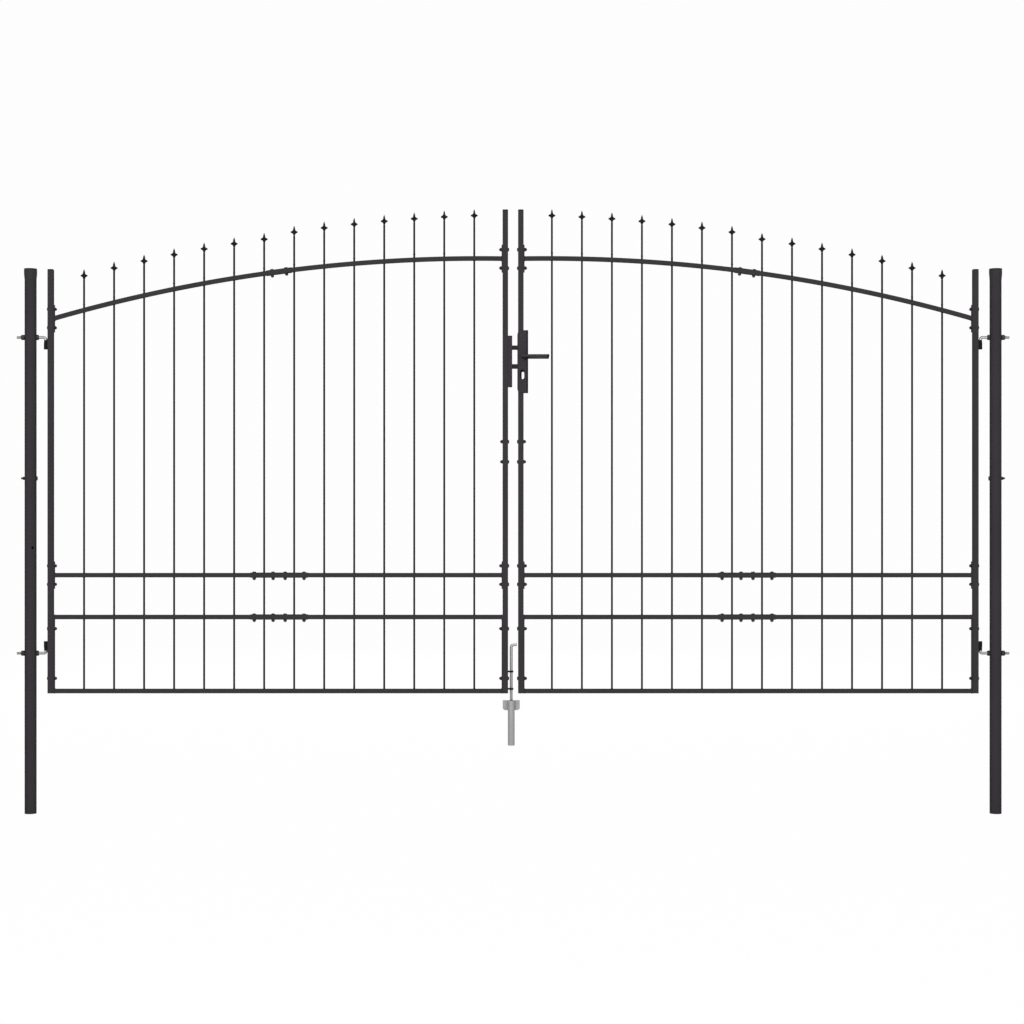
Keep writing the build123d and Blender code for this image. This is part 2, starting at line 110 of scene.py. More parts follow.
@dataclass(frozen=True)
class GateSizes:
    """Sizes of the gate in millimetres, as its solids have them."""

    middle: float = 1976.0
    leaf_start: float = 71.5
    leaf_end: float = 1955.5
    bottom: float = 492.0
    stile_side: float = 22.5
    rail_side: float = 18.0
    rail_two: float = 804.0
    rail_one: float = 975.5
    arch_radius: float = 6332.0
    arch_crown: float = 2272.5
    arch_crown_x: float = 1842.5
    bar_radius: float = 4.0
    bars_in_half: int = 7
    hinge_space: float = 125.0
    meeting_space: float = 116.0
    outer_rise: float = 141.0
    inner_rise: float = 154.0
    inner_step: float = 3.6
    plate_thickness: float = 4.0
    end_plate_height: float = 112.0
    hinge_axis: float = 63.0
    post_radius: float = 24.0
    top_rod: float = 1949.0
    bottom_rod: float = 656.0

    @property
    def panel_start(self) -> float:
        """Where the panel meets the hinge stile."""
        return self.leaf_start + self.stile_side

    @property
    def panel_end(self) -> float:
        """Where the panel meets the meeting stile."""
        return self.leaf_end - self.stile_side

    @property
    def floor_rail(self) -> float:
        """Height of the lowest rail's centre line."""
        return self.bottom + self.rail_side / 2

    @property
    def bar_pitch(self) -> float:
        """Space from bar to bar."""
        free = self.panel_end - self.panel_start - self.hinge_space - self.meeting_space
        return free / (2 * self.bars_in_half - 1)

    @property
    def splice(self) -> float:
        """Where the two halves of the panel meet."""
        return self.bar_x(self.bars_in_half - 1) + self.bar_pitch / 2

    @property
    def arch_centre(self) -> Vector:
        """The centre of the arch, in metres."""
        return Vector((self.arch_crown_x, 0.0, self.arch_crown - self.arch_radius)) * MM

    @property
    def lock_face(self) -> float:
        """The right stile's meeting face."""
        return 2 * self.middle - self.leaf_end

    def bar_x(self, index: int) -> float:
        """X of a bar, counted from the hinge side."""
        return self.panel_start + self.hinge_space + index * self.bar_pitch

    def arch_height(self, x: float) -> float:
        """Height of the arch's centre line at x."""
        across = x - self.arch_crown_x
        return self.arch_crown - self.arch_radius + math.sqrt(self.arch_radius**2 - across**2)

    def arch_lean(self, x: float) -> float:
        """Angle of the arch at x, from level."""
        return math.asin((x - self.arch_crown_x) / self.arch_radius)

    def spear_height(self, index: int) -> float:
        """Finds where a spear stands.

        Args:
            index: the bar, counted from the hinge side.

        Returns:
            The height of its cross arms.
        """
        rise = self.outer_rise
        if index >= self.bars_in_half:
            rise = self.inner_rise + self.inner_step * (index - self.bars_in_half)
        return self.arch_height(self.bar_x(index)) + rise


SIZES = GateSizes()


def hexagon_radius(flats: float) -> float:
    """The radius of a nut's corners, from its width over the flats."""
    return flats / 2 / math.cos(math.pi / HEXAGON)


class Bench:
    """Shaping of meshes with operators, as at a work bench. Sizes are in millimetres.

    A test takes the middle of a face and its normal, or the middle of an edge and its direction.
    """

    FACING = 0.9
    LEVEL = 0.5
    TOUCH = 0.01
    FINE_CREASE = 28.0

    @staticmethod
    def grab(*pieces: Piece) -> None:
        """Selects pieces alone, in object mode.

        Args:
            *pieces: the pieces, the first of them active.
        """
        if bpy.context.object and bpy.context.object.mode != "OBJECT":
            bpy.ops.object.mode_set(mode="OBJECT")
        bpy.ops.object.select_all(action="DESELECT")
        for piece in pieces:
            piece.select_set(True)
        bpy.context.view_layer.objects.active = pieces[0]

    @staticmethod
    def call(piece: Piece, name: str) -> Piece:
        """Names a piece and its mesh.

        Args:
            piece: the piece.
            name: its new name.

        Returns:
            The same piece.
        """
        piece.name = name
        piece.data.name = name
        return piece

    @classmethod
    def settle(cls, piece: Piece, name: str) -> Piece:
        """Puts the object at the origin, with its place in its mesh.

        Args:
            piece: the object that was just shaped.
            name: its new name.

        Returns:
            The same object.
        """
        cls.grab(piece)
        bpy.ops.object.transform_apply(location=True, rotation=True, scale=True)
        return cls.call(piece, name)

    @classmethod
    def box(cls, name: str, low: Place, high: Place) -> Piece:
        """Adds a box between two corners.

        Args:
            name: the name of the piece.
            low: its lowest corner.
            high: its highest corner.

        Returns:
            The box, at the origin.
        """
        middle = [(a + b) / 2 * MM for a, b in zip(low, high)]
        size = [(b - a) * MM for a, b in zip(low, high)]
        bpy.ops.mesh.primitive_cube_add(size=1.0, location=middle, scale=size)
        return cls.settle(bpy.context.object, name)

    @classmethod
    def rod(
        cls, name: str, start: Place, length: float, radius: float, way: Direction, sides: int = 24
    ) -> Piece:
        """Adds a round rod.

        Args:
            name: the name of the piece.
            start: the middle of its first end.
            length: its length along the direction.
            radius: its radius.
            way: the direction it points.
            sides: how many sides it has.

        Returns:
            The rod, at the origin.
        """
        middle = (Vector(start) + way.vector * (length / 2)) * MM
        bpy.ops.mesh.primitive_cylinder_add(
            vertices=sides, radius=radius * MM, depth=abs(length) * MM, location=middle, rotation=way.turn
        )
        return cls.settle(bpy.context.object, name)

    @classmethod
    def cone(cls, name: str, start: Place, length: float, radii: tuple[float, float], sides: int) -> Piece:
        """Adds an upright cone frustum.

        Args:
            name: the name of the piece.
            start: the middle of its lower end.
            length: its height.
            radii: its lower and its upper radius.
            sides: how many sides it has.

        Returns:
            The cone, at the origin.
        """
        low, high = (radius * MM for radius in radii)
        middle = (Vector(start) + Direction.Z.vector * (length / 2)) * MM
        bpy.ops.mesh.primitive_cone_add(
            vertices=sides, radius1=low, radius2=high, depth=length * MM, location=middle
        )
        return cls.settle(bpy.context.object, name)

    @classmethod
    def open_mesh(cls, piece: Piece, kind: str) -> bmesh.types.BMesh:
        """Enters edit mode to pick parts of a mesh.

        Args:
            piece: the object to work on.
            kind: FACE or EDGE.

        Returns:
            The mesh that is edited.
        """
        cls.grab(piece)
        bpy.ops.object.mode_set(mode="EDIT")
        bpy.ops.mesh.select_mode(type=kind)
        return bmesh.from_edit_mesh(piece.data)

    @classmethod
    def open_all(cls, piece: Piece) -> None:
        """Enters edit mode with the whole mesh selected.

        Args:
            piece: the object to work on.
        """
        cls.grab(piece)
        bpy.ops.object.mode_set(mode="EDIT")
        bpy.ops.mesh.select_all(action="SELECT")

    @staticmethod
    def close_mesh(piece: Piece) -> Piece:
        """Goes back to object mode.

        Args:
            piece: the object that was worked on.

        Returns:
            The same object.
        """
        bpy.ops.object.mode_set(mode="OBJECT")
        return piece

    @classmethod
    def pick_faces(cls, piece: Piece, test: Test) -> None:
        """Selects faces in edit mode.

        Args:
            piece: the object to work on.
            test: picks a face by its middle in millimetres and its normal.
        """
        for face in cls.open_mesh(piece, "FACE").faces:
            face.select_set(test(face.calc_center_median() / MM, face.normal))
        bmesh.update_edit_mesh(piece.data)

    @classmethod
    def pick_edges(cls, piece: Piece, test: Test) -> None:
        """Selects edges in edit mode.

        Args:
            piece: the object to work on.
            test: picks an edge by its middle in millimetres and its direction.
        """
        for edge in cls.open_mesh(piece, "EDGE").edges:
            first, last = (vertex.co for vertex in edge.verts)
            edge.select_set(test((first + last) / 2 / MM, (last - first).normalized()))
        bmesh.update_edit_mesh(piece.data)

    @staticmethod
    def end_of(piece: Piece, direction: Direction, way: float = 1.0) -> Test:
        """Makes a test for the flat face that closes a piece.

        Args:
            piece: the piece.
            direction: the direction the face looks along.
            way: 1 for the far end, -1 for the near one.

        Returns:
            The test.
        """
        axis = direction.vector * way
        reach = max(vertex.co.dot(axis) for vertex in piece.data.vertices) / MM
        edge = reach - Bench.TOUCH
        return lambda middle, normal: normal.dot(axis) > Bench.FACING and middle.dot(axis) > edge

    @staticmethod
    def along(direction: Direction) -> Test:
        """A test for the edges along a direction."""
        return lambda middle, way: abs(way.dot(direction.vector)) > Bench.FACING

    @staticmethod
    def ring_above(height: float) -> Test:
        """A test for the level edges above a height."""
        return lambda middle, way: middle.z > height and abs(way.z) < Bench.LEVEL

    @classmethod
    def round_edges(
        cls, piece: Piece, width: float, segments: int, test: Test = lambda middle, way: True
    ) -> Piece:
        """Bevels the edges that pass a test.

        Args:
            piece: the object to work on.
            width: the bevel's width.
            segments: how many steps it has.
            test: picks the edges.

        Returns:
            The same object.
        """
        cls.pick_edges(piece, test)
        bpy.ops.mesh.bevel(offset=width * MM, segments=segments, affect="EDGES", clamp_overlap=True)
        return cls.close_mesh(piece)

    @classmethod
    def push(cls, piece: Piece, test: Test, steps: Iterable[tuple[Place, Place]]) -> Piece:
        """Extrudes the faces that pass a test, step by step.

        Args:
            piece: the object to work on.
            test: picks the faces.
            steps: pairs of a move in millimetres and a scale about the faces' middle.

        Returns:
            The same object.
        """
        cls.pick_faces(piece, test)
        for move, scale in steps:
            bpy.ops.mesh.extrude_region_move(
                TRANSFORM_OT_translate={"value": tuple(value * MM for value in move)}
            )
            bpy.ops.transform.resize(value=scale)
        return cls.close_mesh(piece)

    @classmethod
    def draw(
        cls, piece: Piece, direction: Direction, steps: Iterable[tuple[float, float]], way: float = 1.0
    ) -> Piece:
        """Draws one end of a piece out, step by step.

        Args:
            piece: the object to work on.
            direction: the line it's drawn along.
            steps: pairs of a length and a scale of the end's outline.
            way: 1 for the far end, -1 for the near one.

        Returns:
            The same object.
        """
        axis = direction.vector * way
        moves = []
        for length, scale in steps:
            size = tuple(1.0 if part else scale for part in direction.value)
            moves.append((tuple(axis * length), size))
        return cls.push(piece, cls.end_of(piece, direction, way), moves)

    @classmethod
    def spin(
        cls, piece: Piece, test: Test, centre: Vector, axis: Vector, angle: float, steps: int
    ) -> Piece:
        """Sweeps the faces that pass a test round a centre.

        Args:
            piece: the object to work on.
            test: picks the faces.
            centre: the centre in metres.
            axis: the axis of the turn, right-handed.
            angle: the angle in radians.
            steps: how many steps the turn has.

        Returns:
            The same object.
        """
        cls.pick_faces(piece, test)
        bpy.ops.mesh.spin(steps=steps, angle=-angle, center=centre, axis=axis, dupli=False)
        return cls.close_mesh(piece)

    @classmethod
    def trim(cls, piece: Piece, x: float, keep_above: bool) -> Piece:
        """Cuts a piece with an upright plane and closes the cut.

        Args:
            piece: the object to work on.
            x: the plane's X in millimetres.
            keep_above: whether the side of larger X stays.

        Returns:
            The same object.
        """
        cls.open_all(piece)
        bpy.ops.mesh.bisect(
            plane_co=(x * MM, 0.0, 0.0),
            plane_no=Direction.X.value,
            use_fill=True,
            clear_inner=keep_above,
            clear_outer=not keep_above,
        )
        return cls.close_mesh(piece)

    @classmethod
    def outward(cls, piece: Piece) -> Piece:
        """Merges doubles and turns every face outwards.

        Args:
            piece: the object to work on.

        Returns:
            The same object.
        """
        cls.open_all(piece)
        bpy.ops.mesh.remove_doubles(threshold=MERGE_DISTANCE)
        bpy.ops.mesh.normals_make_consistent(inside=False)
        return cls.close_mesh(piece)

    @classmethod
    def soften(cls, piece: Piece, angle: float = 35.0) -> Piece:
        """Shades a piece smooth but for its sharp edges.

        Args:
            piece: the object to work on.
            angle: edges sharper than this, in degrees, stay sharp.

        Returns:
            The same object.
        """
        cls.grab(piece)
        bpy.ops.object.shade_smooth_by_angle(angle=math.radians(angle))
        return piece

    @classmethod
    def apply(cls, piece: Piece) -> Piece:
        """Applies all modifiers of a piece.

        Args:
            piece: the object to work on.

        Returns:
            The same object.
        """
        cls.grab(piece)
        for modifier in list(piece.modifiers):
            bpy.ops.object.modifier_apply(modifier=modifier.name)
        return piece

    @staticmethod
    def edge_bevel(piece: Piece, width: float, segments: int, angle: float) -> bpy.types.Modifier:
        """Adds a modifier that rounds all sharp edges.

        Args:
            piece: the object to work on.
            width: the bevel's width.
            segments: how many steps it has.
            angle: edges sharper than this, in degrees, are rounded.

        Returns:
            The modifier.
        """
        bevel = piece.modifiers.new("edges", "BEVEL")
        bevel.width = width * MM
        bevel.segments = segments
        bevel.limit_method = "ANGLE"
        bevel.angle_limit = math.radians(angle)
        return bevel

    @classmethod
    def join(cls, name: str, pieces: list[Piece]) -> Piece:
        """Joins pieces into one.

        Args:
            name: the name of the joined piece.
            pieces: the pieces.

        Returns:
            The joined piece.
        """
        cls.grab(*pieces)
        if len(pieces) > 1:
            bpy.ops.object.join()
        return cls.call(bpy.context.object, name)

    @classmethod
    def copy(cls, piece: Piece, name: str, place: Callable[[Vector], Vector]) -> Piece:
        """Copies a piece with its own mesh and puts each point in place.

        Args:
            piece: the model to copy.
            name: the copy's name.
            place: takes a point in millimetres and returns its new place.

        Returns:
            The copy.
        """
        twin = piece.copy()
        twin.data = piece.data.copy()
        bpy.context.scene.collection.objects.link(twin)
        for vertex in twin.data.vertices:
            vertex.co = place(vertex.co / MM) * MM
        return cls.call(twin, name)

    @classmethod
    def moved(cls, piece: Piece, name: str, to: Place) -> Piece:
        """Copies a piece that was modelled at the origin to a place."""
        return cls.copy(piece, name, lambda point: point + Vector(to))

    @classmethod
    def turned(cls, piece: Piece, name: str, turn: Matrix) -> Piece:
        """Turns a model about the origin, in its mesh.

        Args:
            piece: the model.
            name: its new name.
            turn: the rotation.

        Returns:
            The turned model, in place of the first one.
        """
        twin = cls.copy(piece, name, lambda point: turn @ point)
        cls.discard(piece)
        return twin

    @classmethod
    def mirrored(cls, piece: Piece, name: str) -> Piece:
        """Copies a piece of the left side to the right one.

        Args:
            piece: the left side's piece.
            name: the copy's name.

        Returns:
            The mirrored copy, its faces turned outwards again.
        """
        across = 2 * SIZES.middle
        twin = cls.copy(piece, name, lambda point: Vector((across - point.x, point.y, point.z)))
        cls.open_all(twin)
        bpy.ops.mesh.flip_normals()
        return cls.close_mesh(twin)

    @staticmethod
    def discard(*pieces: Piece) -> None:
        """Removes models that were only copied from.

        Args:
            *pieces: the models.
        """
        for piece in pieces:
            bpy.data.objects.remove(piece, do_unlink=True)


@dataclass(frozen=True)
class ThreadCut:
    """A screw thread: one helical ridge round a rod. Sizes are in millimetres."""

    crest: float
    depth: float
    pitch: float
    half_share: float = 0.45
    lead_share: float = 1.2
    turn_steps: int = 14

    def coil(self, name: str, start: Place, length: float, way: Direction) -> Piece:
        """Builds the ridge with a screw modifier.

        Args:
            name: the name of the piece.
            start: where the thread begins on the rod's axis.
            length: the threaded length.
            way: the direction of the rod.

        Returns:
            The ridge, in place.
        """
        bpy.ops.mesh.primitive_circle_add(vertices=3, radius=self.depth * MM, fill_type="NOTHING")
        coil = bpy.context.object
        root = self.crest - self.depth
        half = self.pitch * self.half_share
        corners = [(root, 0.0, -half), (self.crest, 0.0, 0.0), (root, 0.0, half)]
        for vertex, corner in zip(coil.data.vertices, corners):
            vertex.co = Vector(corner) * MM
        screw = coil.modifiers.new("thread", "SCREW")
        screw.axis = "Z"
        screw.angle = math.tau
        screw.screw_offset = self.pitch * MM
        screw.iterations = max(1, int(length / self.pitch) - 1)
        screw.steps = screw.render_steps = self.turn_steps
        screw.use_merge_vertices = True
        Bench.apply(coil)
        coil.rotation_euler = way.turn
        coil.location = (Vector(start) + way.vector * half * self.lead_share) * MM
        Bench.settle(coil, name)
        return Bench.outward(coil)


class NodeWork:
    """Small helpers that lay out a node tree."""

    MIX_SHARE, MIX_FIRST, MIX_SECOND, MIX_RESULT = 0, 6, 7, 2

    def __init__(self, tree: bpy.types.NodeTree) -> None:
        """Starts with an empty tree."""
        self.tree = tree
        tree.nodes.clear()

    def add(self, kind: str, inputs: dict | None = None, **settings: object) -> bpy.types.Node:
        """Adds a node.

        Args:
            kind: the node's type.
            inputs: what its inputs get, by name or number: a socket, a number or a colour.
            **settings: the attributes to set on it.

        Returns:
            The node.
        """
        node = self.tree.nodes.new(kind)
        for key, value in settings.items():
            setattr(node, key, value)
        for key, value in (inputs or {}).items():
            if isinstance(value, bpy.types.NodeSocket):
                self.tree.links.new(value, node.inputs[key])
            elif isinstance(value, tuple):
                node.inputs[key].default_value = (*value, 1.0)
            else:
                node.inputs[key].default_value = value
        return node

    def math(self, operation: str, first: object, second: object, clamp: bool = False) -> Socket:
        """Adds a math node.

        Args:
            operation: the node's operation.
            first: a socket or a number.
            second: a socket or a number.
            clamp: whether the result stays from 0 to 1.

        Returns:
            The node's output.
        """
        node = self.add("ShaderNodeMath", {0: first, 1: second}, operation=operation, use_clamp=clamp)
        return node.outputs[0]

    def span(self, value: Socket, given: tuple[float, float], wanted: tuple[float, float]) -> Socket:
        """Maps a value from one span to another, clamped.

        Args:
            value: the value to map.
            given: the start and the end of its span.
            wanted: what the start and the end become.

        Returns:
            The mapped value.
        """
        ends = dict(zip(("From Min", "From Max", "To Min", "To Max"), (*given, *wanted)))
        return self.add("ShaderNodeMapRange", {"Value": value, **ends}).outputs["Result"]

    def mix(self, share: Socket, first: object, second: object) -> Socket:
        """Mixes two colours by a mask.

        Args:
            share: the mask.
            first: a socket or a colour, shown where the mask is 0.
            second: a socket or a colour, shown where the mask is 1.

        Returns:
            The mixed colour.
        """
        inputs = {self.MIX_SHARE: share, self.MIX_FIRST: first, self.MIX_SECOND: second}
        return self.add("ShaderNodeMix", inputs, data_type="RGBA").outputs[self.MIX_RESULT]

    def place(self) -> Socket:
        """The piece's own coordinates."""
        return self.add("ShaderNodeTexCoord").outputs["Object"]

    def noise(self, scale: object, detail: float = 2.0) -> Socket:
        """Adds noise over the piece's own coordinates.

        Args:
            scale: its scale, a socket or a number.
            detail: how many finer layers it has.

        Returns:
            The noise.
        """
        inputs = {"Vector": self.place(), "Scale": scale, "Detail": detail}
        return self.add("ShaderNodeTexNoise", inputs).outputs["Fac"]


class GroupWork(NodeWork):
    """A node group in the making, with named inputs and one output."""

    def __init__(self, name: str, output: str, inputs: dict[str, float]) -> None:
        """Starts the group.

        Args:
            name: the group's name.
            output: its output.
            inputs: its inputs with their starting values.
        """
        super().__init__(bpy.data.node_groups.new(name, "ShaderNodeTree"))
        sockets = self.tree.interface
        for key, value in inputs.items():
            made = sockets.new_socket(name=key, in_out="INPUT", socket_type="NodeSocketFloat")
            made.default_value = value
        sockets.new_socket(name=output, in_out="OUTPUT", socket_type="NodeSocketFloat")
        self.output = output
        self.source = self.add("NodeGroupInput")

    def given(self, name: str) -> Socket:
        """One of the group's inputs."""
        return self.source.outputs[name]

    def close(self, value: Socket) -> bpy.types.NodeTree:
        """Puts a value out and returns the finished group."""
        self.add("NodeGroupOutput", {self.output: value})
        return self.tree


class SharedEffects:
    """Node groups that several finishes use, each built once."""

    WHOLE = (0.0, 1.0)
    EDGE_LIKENESS = (0.995, 0.80)
    EDGE_NOISE = (0.38, 0.62)
    EDGE_PATCHES = (0.25, 1.0)
    CELL_HEIGHT = 0.6
    CLOUD_NOISE = (0.3, 0.7)
    CLOUD_TONE = (0.0, 0.7)
    FLECK_NOISE = (0.4, 0.7)
    FLECK_TONE = (0.0, 0.3)
    UPWARD = (0.55, 0.95)
    DUST_SCALE = 60.0
    DUST_NOISE = (0.35, 0.75)

    @staticmethod
    @cache
    def edge_rub_and_shade() -> bpy.types.NodeTree:
        """Makes a mask of the edges and creases, broken up by noise: painted shade where a finish's edge
        colour is darker than its colour, rubbed wear where it is lighter.

        Returns:
            The node group.
        """
        work = GroupWork("edge rub and shade", "Mask", {"Width": 0.0006, "Breakup": 45.0})
        rounded = work.add("ShaderNodeBevel", {"Radius": work.given("Width")}, samples=4)
        normals = {
            0: rounded.outputs["Normal"],
            1: work.add("ShaderNodeNewGeometry").outputs["Normal"],
        }
        likeness = work.add("ShaderNodeVectorMath", normals, operation="DOT_PRODUCT").outputs["Value"]
        edge = work.span(likeness, SharedEffects.EDGE_LIKENESS, SharedEffects.WHOLE)
        noise = work.noise(work.given("Breakup"), detail=4.0)
        patches = work.span(noise, SharedEffects.EDGE_NOISE, SharedEffects.EDGE_PATCHES)
        return work.close(work.math("MULTIPLY", edge, patches, clamp=True))

    @staticmethod
    @cache
    def coat_grain() -> bpy.types.NodeTree:
        """Makes the fine orange-peel height of a sprayed and baked coat.

        Returns:
            The node group.
        """
        work = GroupWork("coat grain", "Height", {"Cells": 700.0})
        inputs = {"Vector": work.place(), "Scale": work.given("Cells")}
        cells = work.add("ShaderNodeTexVoronoi", inputs, feature="SMOOTH_F1")
        height = work.math("MULTIPLY", cells.outputs["Distance"], SharedEffects.CELL_HEIGHT)
        return work.close(work.math("ADD", work.noise(work.given("Cells"), detail=3.0), height))

    @staticmethod
    @cache
    def mottle() -> bpy.types.NodeTree:
        """Makes a slow change of tone over the surface, with small flecks in it.

        Returns:
            The node group.
        """
        work = GroupWork("mottle", "Tone", {"Clouds": 5.0, "Flecks": 160.0})
        wide = work.noise(work.given("Clouds"), detail=5.0)
        clouds = work.span(wide, SharedEffects.CLOUD_NOISE, SharedEffects.CLOUD_TONE)
        small = work.noise(work.given("Flecks"))
        flecks = work.span(small, SharedEffects.FLECK_NOISE, SharedEffects.FLECK_TONE)
        return work.close(work.math("ADD", clouds, flecks, clamp=True))

    @staticmethod
    @cache
    def settled_dust() -> bpy.types.NodeTree:
        """Makes a mask of what faces up, where dust lies in patches.

        Returns:
            The node group.
        """
        work = GroupWork("settled dust", "Mask", {"Amount": 0.2})
        normal = work.add("ShaderNodeNewGeometry").outputs["Normal"]
        split = work.add("ShaderNodeSeparateXYZ", {0: normal})
        upward = work.span(split.outputs["Z"], SharedEffects.UPWARD, SharedEffects.WHOLE)
        noise = work.noise(SharedEffects.DUST_SCALE, detail=6.0)
        patches = work.span(noise, SharedEffects.DUST_NOISE, SharedEffects.WHOLE)
        lying = work.math("MULTIPLY", upward, patches, clamp=True)
        return work.close(work.math("MULTIPLY", lying, work.given("Amount")))


@dataclass(frozen=True)
class Finish:
    """A surface finish: its colours, its sheen and its fine relief."""

    name: str
    colour: Colour
    # Where darker than colour, this paints shade on edges and creases; where lighter, it is rubbed wear.
    edge_colour: Colour
    tone_colour: Colour
    roughness: float
    metallic: float = 0.0
    specular: float = 0.5
    grain_cells: float = 700.0
    grain_depth: float = 0.00003
    grain_strength: float = 0.3
    edge_width: float = 0.0007
    dust: float = 0.03
    dust_colour: Colour = (0.16, 0.15, 0.14)
    dust_roughness: float = 0.8
    smoother: float = 0.05
    rougher: float = 0.07

    @cache
    def material(self) -> bpy.types.Material:
        """Builds the material once, however many pieces wear it.

        Returns:
            The material.
        """
        made = bpy.data.materials.new(self.name + "_finish")
        made.use_nodes = True
        work = NodeWork(made.node_tree)
        # Edge mask: darker edge colours paint shade on edges and creases, lighter ones are rubbed wear.
        edge = self.effect(work, SharedEffects.edge_rub_and_shade(), "Mask", Width=self.edge_width)
        tone = self.effect(work, SharedEffects.mottle(), "Tone")
        dust = self.effect(work, SharedEffects.settled_dust(), "Mask", Amount=self.dust)
        grain = self.effect(work, SharedEffects.coat_grain(), "Height", Cells=self.grain_cells)
        shade = work.mix(edge, work.mix(tone, self.colour, self.tone_colour), self.edge_colour)
        ends = (self.roughness - self.smoother, self.roughness + self.rougher)
        rough = work.span(tone, SharedEffects.WHOLE, ends)
        dusty = work.math("MULTIPLY", dust, self.dust_roughness)
        relief = {"Strength": self.grain_strength, "Distance": self.grain_depth, "Height": grain}
        inputs = {
            "Base Color": work.mix(dust, shade, self.dust_colour),
            "Roughness": work.math("ADD", rough, dusty, clamp=True),
            "Normal": work.add("ShaderNodeBump", relief).outputs["Normal"],
            "Metallic": self.metallic,
            "Specular IOR Level": self.specular,
        }
        shader = work.add("ShaderNodeBsdfPrincipled", inputs)
        work.add("ShaderNodeOutputMaterial", {"Surface": shader.outputs["BSDF"]})
        return made

    @staticmethod
    def effect(work: NodeWork, tree: bpy.types.NodeTree, output: str, **values: float) -> Socket:
        """Places a shared effect in a material and returns the output that is wanted."""
        return work.add("ShaderNodeGroup", values, node_tree=tree).outputs[output]


def grey(level: float) -> Colour:
    """A colour without a hue."""
    return (level, level, level)


class Finishes:
    """The finishes of the gate, by the record's material slots or by single nodes."""

    # Each finish's third colour is its edge colour: darker ones paint shade on edges and creases, lighter
    # ones are rubbed wear.
    BLACK_COAT = Finish(
        "black_coat", (0.039, 0.0355, 0.039), grey(0.006), (0.045, 0.041, 0.045), 0.52, specular=0.0
    )
    BAR_BLACK = Finish(
        "bar_black", (0.013, 0.012, 0.013), grey(0.005), (0.017, 0.016, 0.017), 0.56, specular=0.0
    )
    BLACK_CAP = Finish(
        "black_cap",
        (0.033, 0.031, 0.033),
        grey(0.006),
        (0.038, 0.036, 0.038),
        0.62,
        specular=0.06,
        grain_cells=1100.0,
    )
    STILE_CAP = Finish("stile_cap", grey(0.009), grey(0.005), grey(0.012), 0.62, specular=0.06)
    BLACK_FASTENER = Finish(
        "black_fastener", (0.011, 0.010, 0.011), grey(0.02), (0.015, 0.014, 0.015), 0.42, specular=0.25
    )
    LOCK_BLACK = Finish(
        "lock_black", (0.039, 0.036, 0.040), grey(0.006), (0.044, 0.041, 0.045), 0.48, specular=0.0
    )
    # Near-black painted shade: a shaded copy of the lock's black, for the case's recessed side, the
    # keyhole's inside, the drop bolt guides and the screws under the lever.
    CASE_PAINTED_SHADE = Finish("case_painted_shade", grey(0.003), grey(0.003), grey(0.005), 0.6, specular=0.04)
    LEVER_BLACK = Finish(
        "lever_black", (0.022, 0.021, 0.023), grey(0.008), (0.027, 0.025, 0.028), 0.42, specular=0.12
    )
    LEVER_CAP = Finish("lever_cap", grey(0.004), grey(0.004), grey(0.006), 0.6, specular=0.06)
    BOLT_STEEL = Finish(
        "bolt_steel", (0.011, 0.011, 0.012), grey(0.04), (0.018, 0.018, 0.019), 0.42, specular=0.08
    )
    ZINC_ROD = Finish(
        "zinc_rod",
        (0.34, 0.34, 0.33),
        (0.46, 0.46, 0.45),
        (0.27, 0.27, 0.265),
        0.42,
        metallic=0.75,
        grain_cells=500.0,
        dust=0.0,
    )
    GALVANISED = Finish(
        "galvanised_socket",
        (0.37, 0.355, 0.37),
        (0.26, 0.25, 0.26),
        (0.31, 0.30, 0.31),
        0.6,
        metallic=0.3,
        specular=0.3,
        grain_cells=220.0,
        grain_depth=0.0001,
        dust=0.02,
    )
    BY_NODE = {
        # The lock case, the cylinder housing and the drop bolt guides wear the near-black painted shade.
        "lock_case": CASE_PAINTED_SHADE,
        "cylinder_housing": CASE_PAINTED_SHADE,
        "drop_bolt_guides": CASE_PAINTED_SHADE,
        "left_hinge_stile_cap": STILE_CAP,
        "right_hinge_stile_cap": STILE_CAP,
        "left_meeting_stile_cap": STILE_CAP,
        "right_meeting_stile_cap": STILE_CAP,
    }
    SLOTS = (
        BLACK_COAT, BLACK_CAP, BLACK_FASTENER, LOCK_BLACK, LEVER_BLACK, BOLT_STEEL, ZINC_ROD, GALVANISED
    )
    BY_SLOT = {finish.name: finish for finish in SLOTS}


def dress(piece: Piece, finish: Finish) -> Piece:
    """Gives a piece one finish.

    Args:
        piece: the piece.
        finish: its finish.

    Returns:
        The same piece.
    """
    piece.data.materials.clear()
    piece.data.materials.append(finish.material())
    return piece


def place_piece(piece: Piece, body: Body, *nodes: str) -> None:
    """Lets a piece ride on a body and stand for solids.

    Args:
        piece: the finished piece.
        body: the body it rides on.
        *nodes: the solids it replaces.
    """
    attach(piece, body.value)
    if nodes:
        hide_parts(*nodes)
    LOG.info("%s: %d faces on %s", piece.name, len(piece.data.polygons), body.value)


def place_pair(piece: Piece, bodies: tuple[Body, Body], node: str = "") -> None:
    """Places a piece of the left side and its mirrored twin on the right.

    Args:
        piece: the left piece, with left_ in its name.
        bodies: the bodies that the two ride on.
        node: the solids they replace, without the side in the name.
    """
    twin = Bench.mirrored(piece, piece.name.replace("left_", "right_"))
    for side, made, body in zip(("left", "right"), (piece, twin), bodies):
        nodes = [f"{side}_{node}"] if node else []
        place_piece(made, body, *nodes)


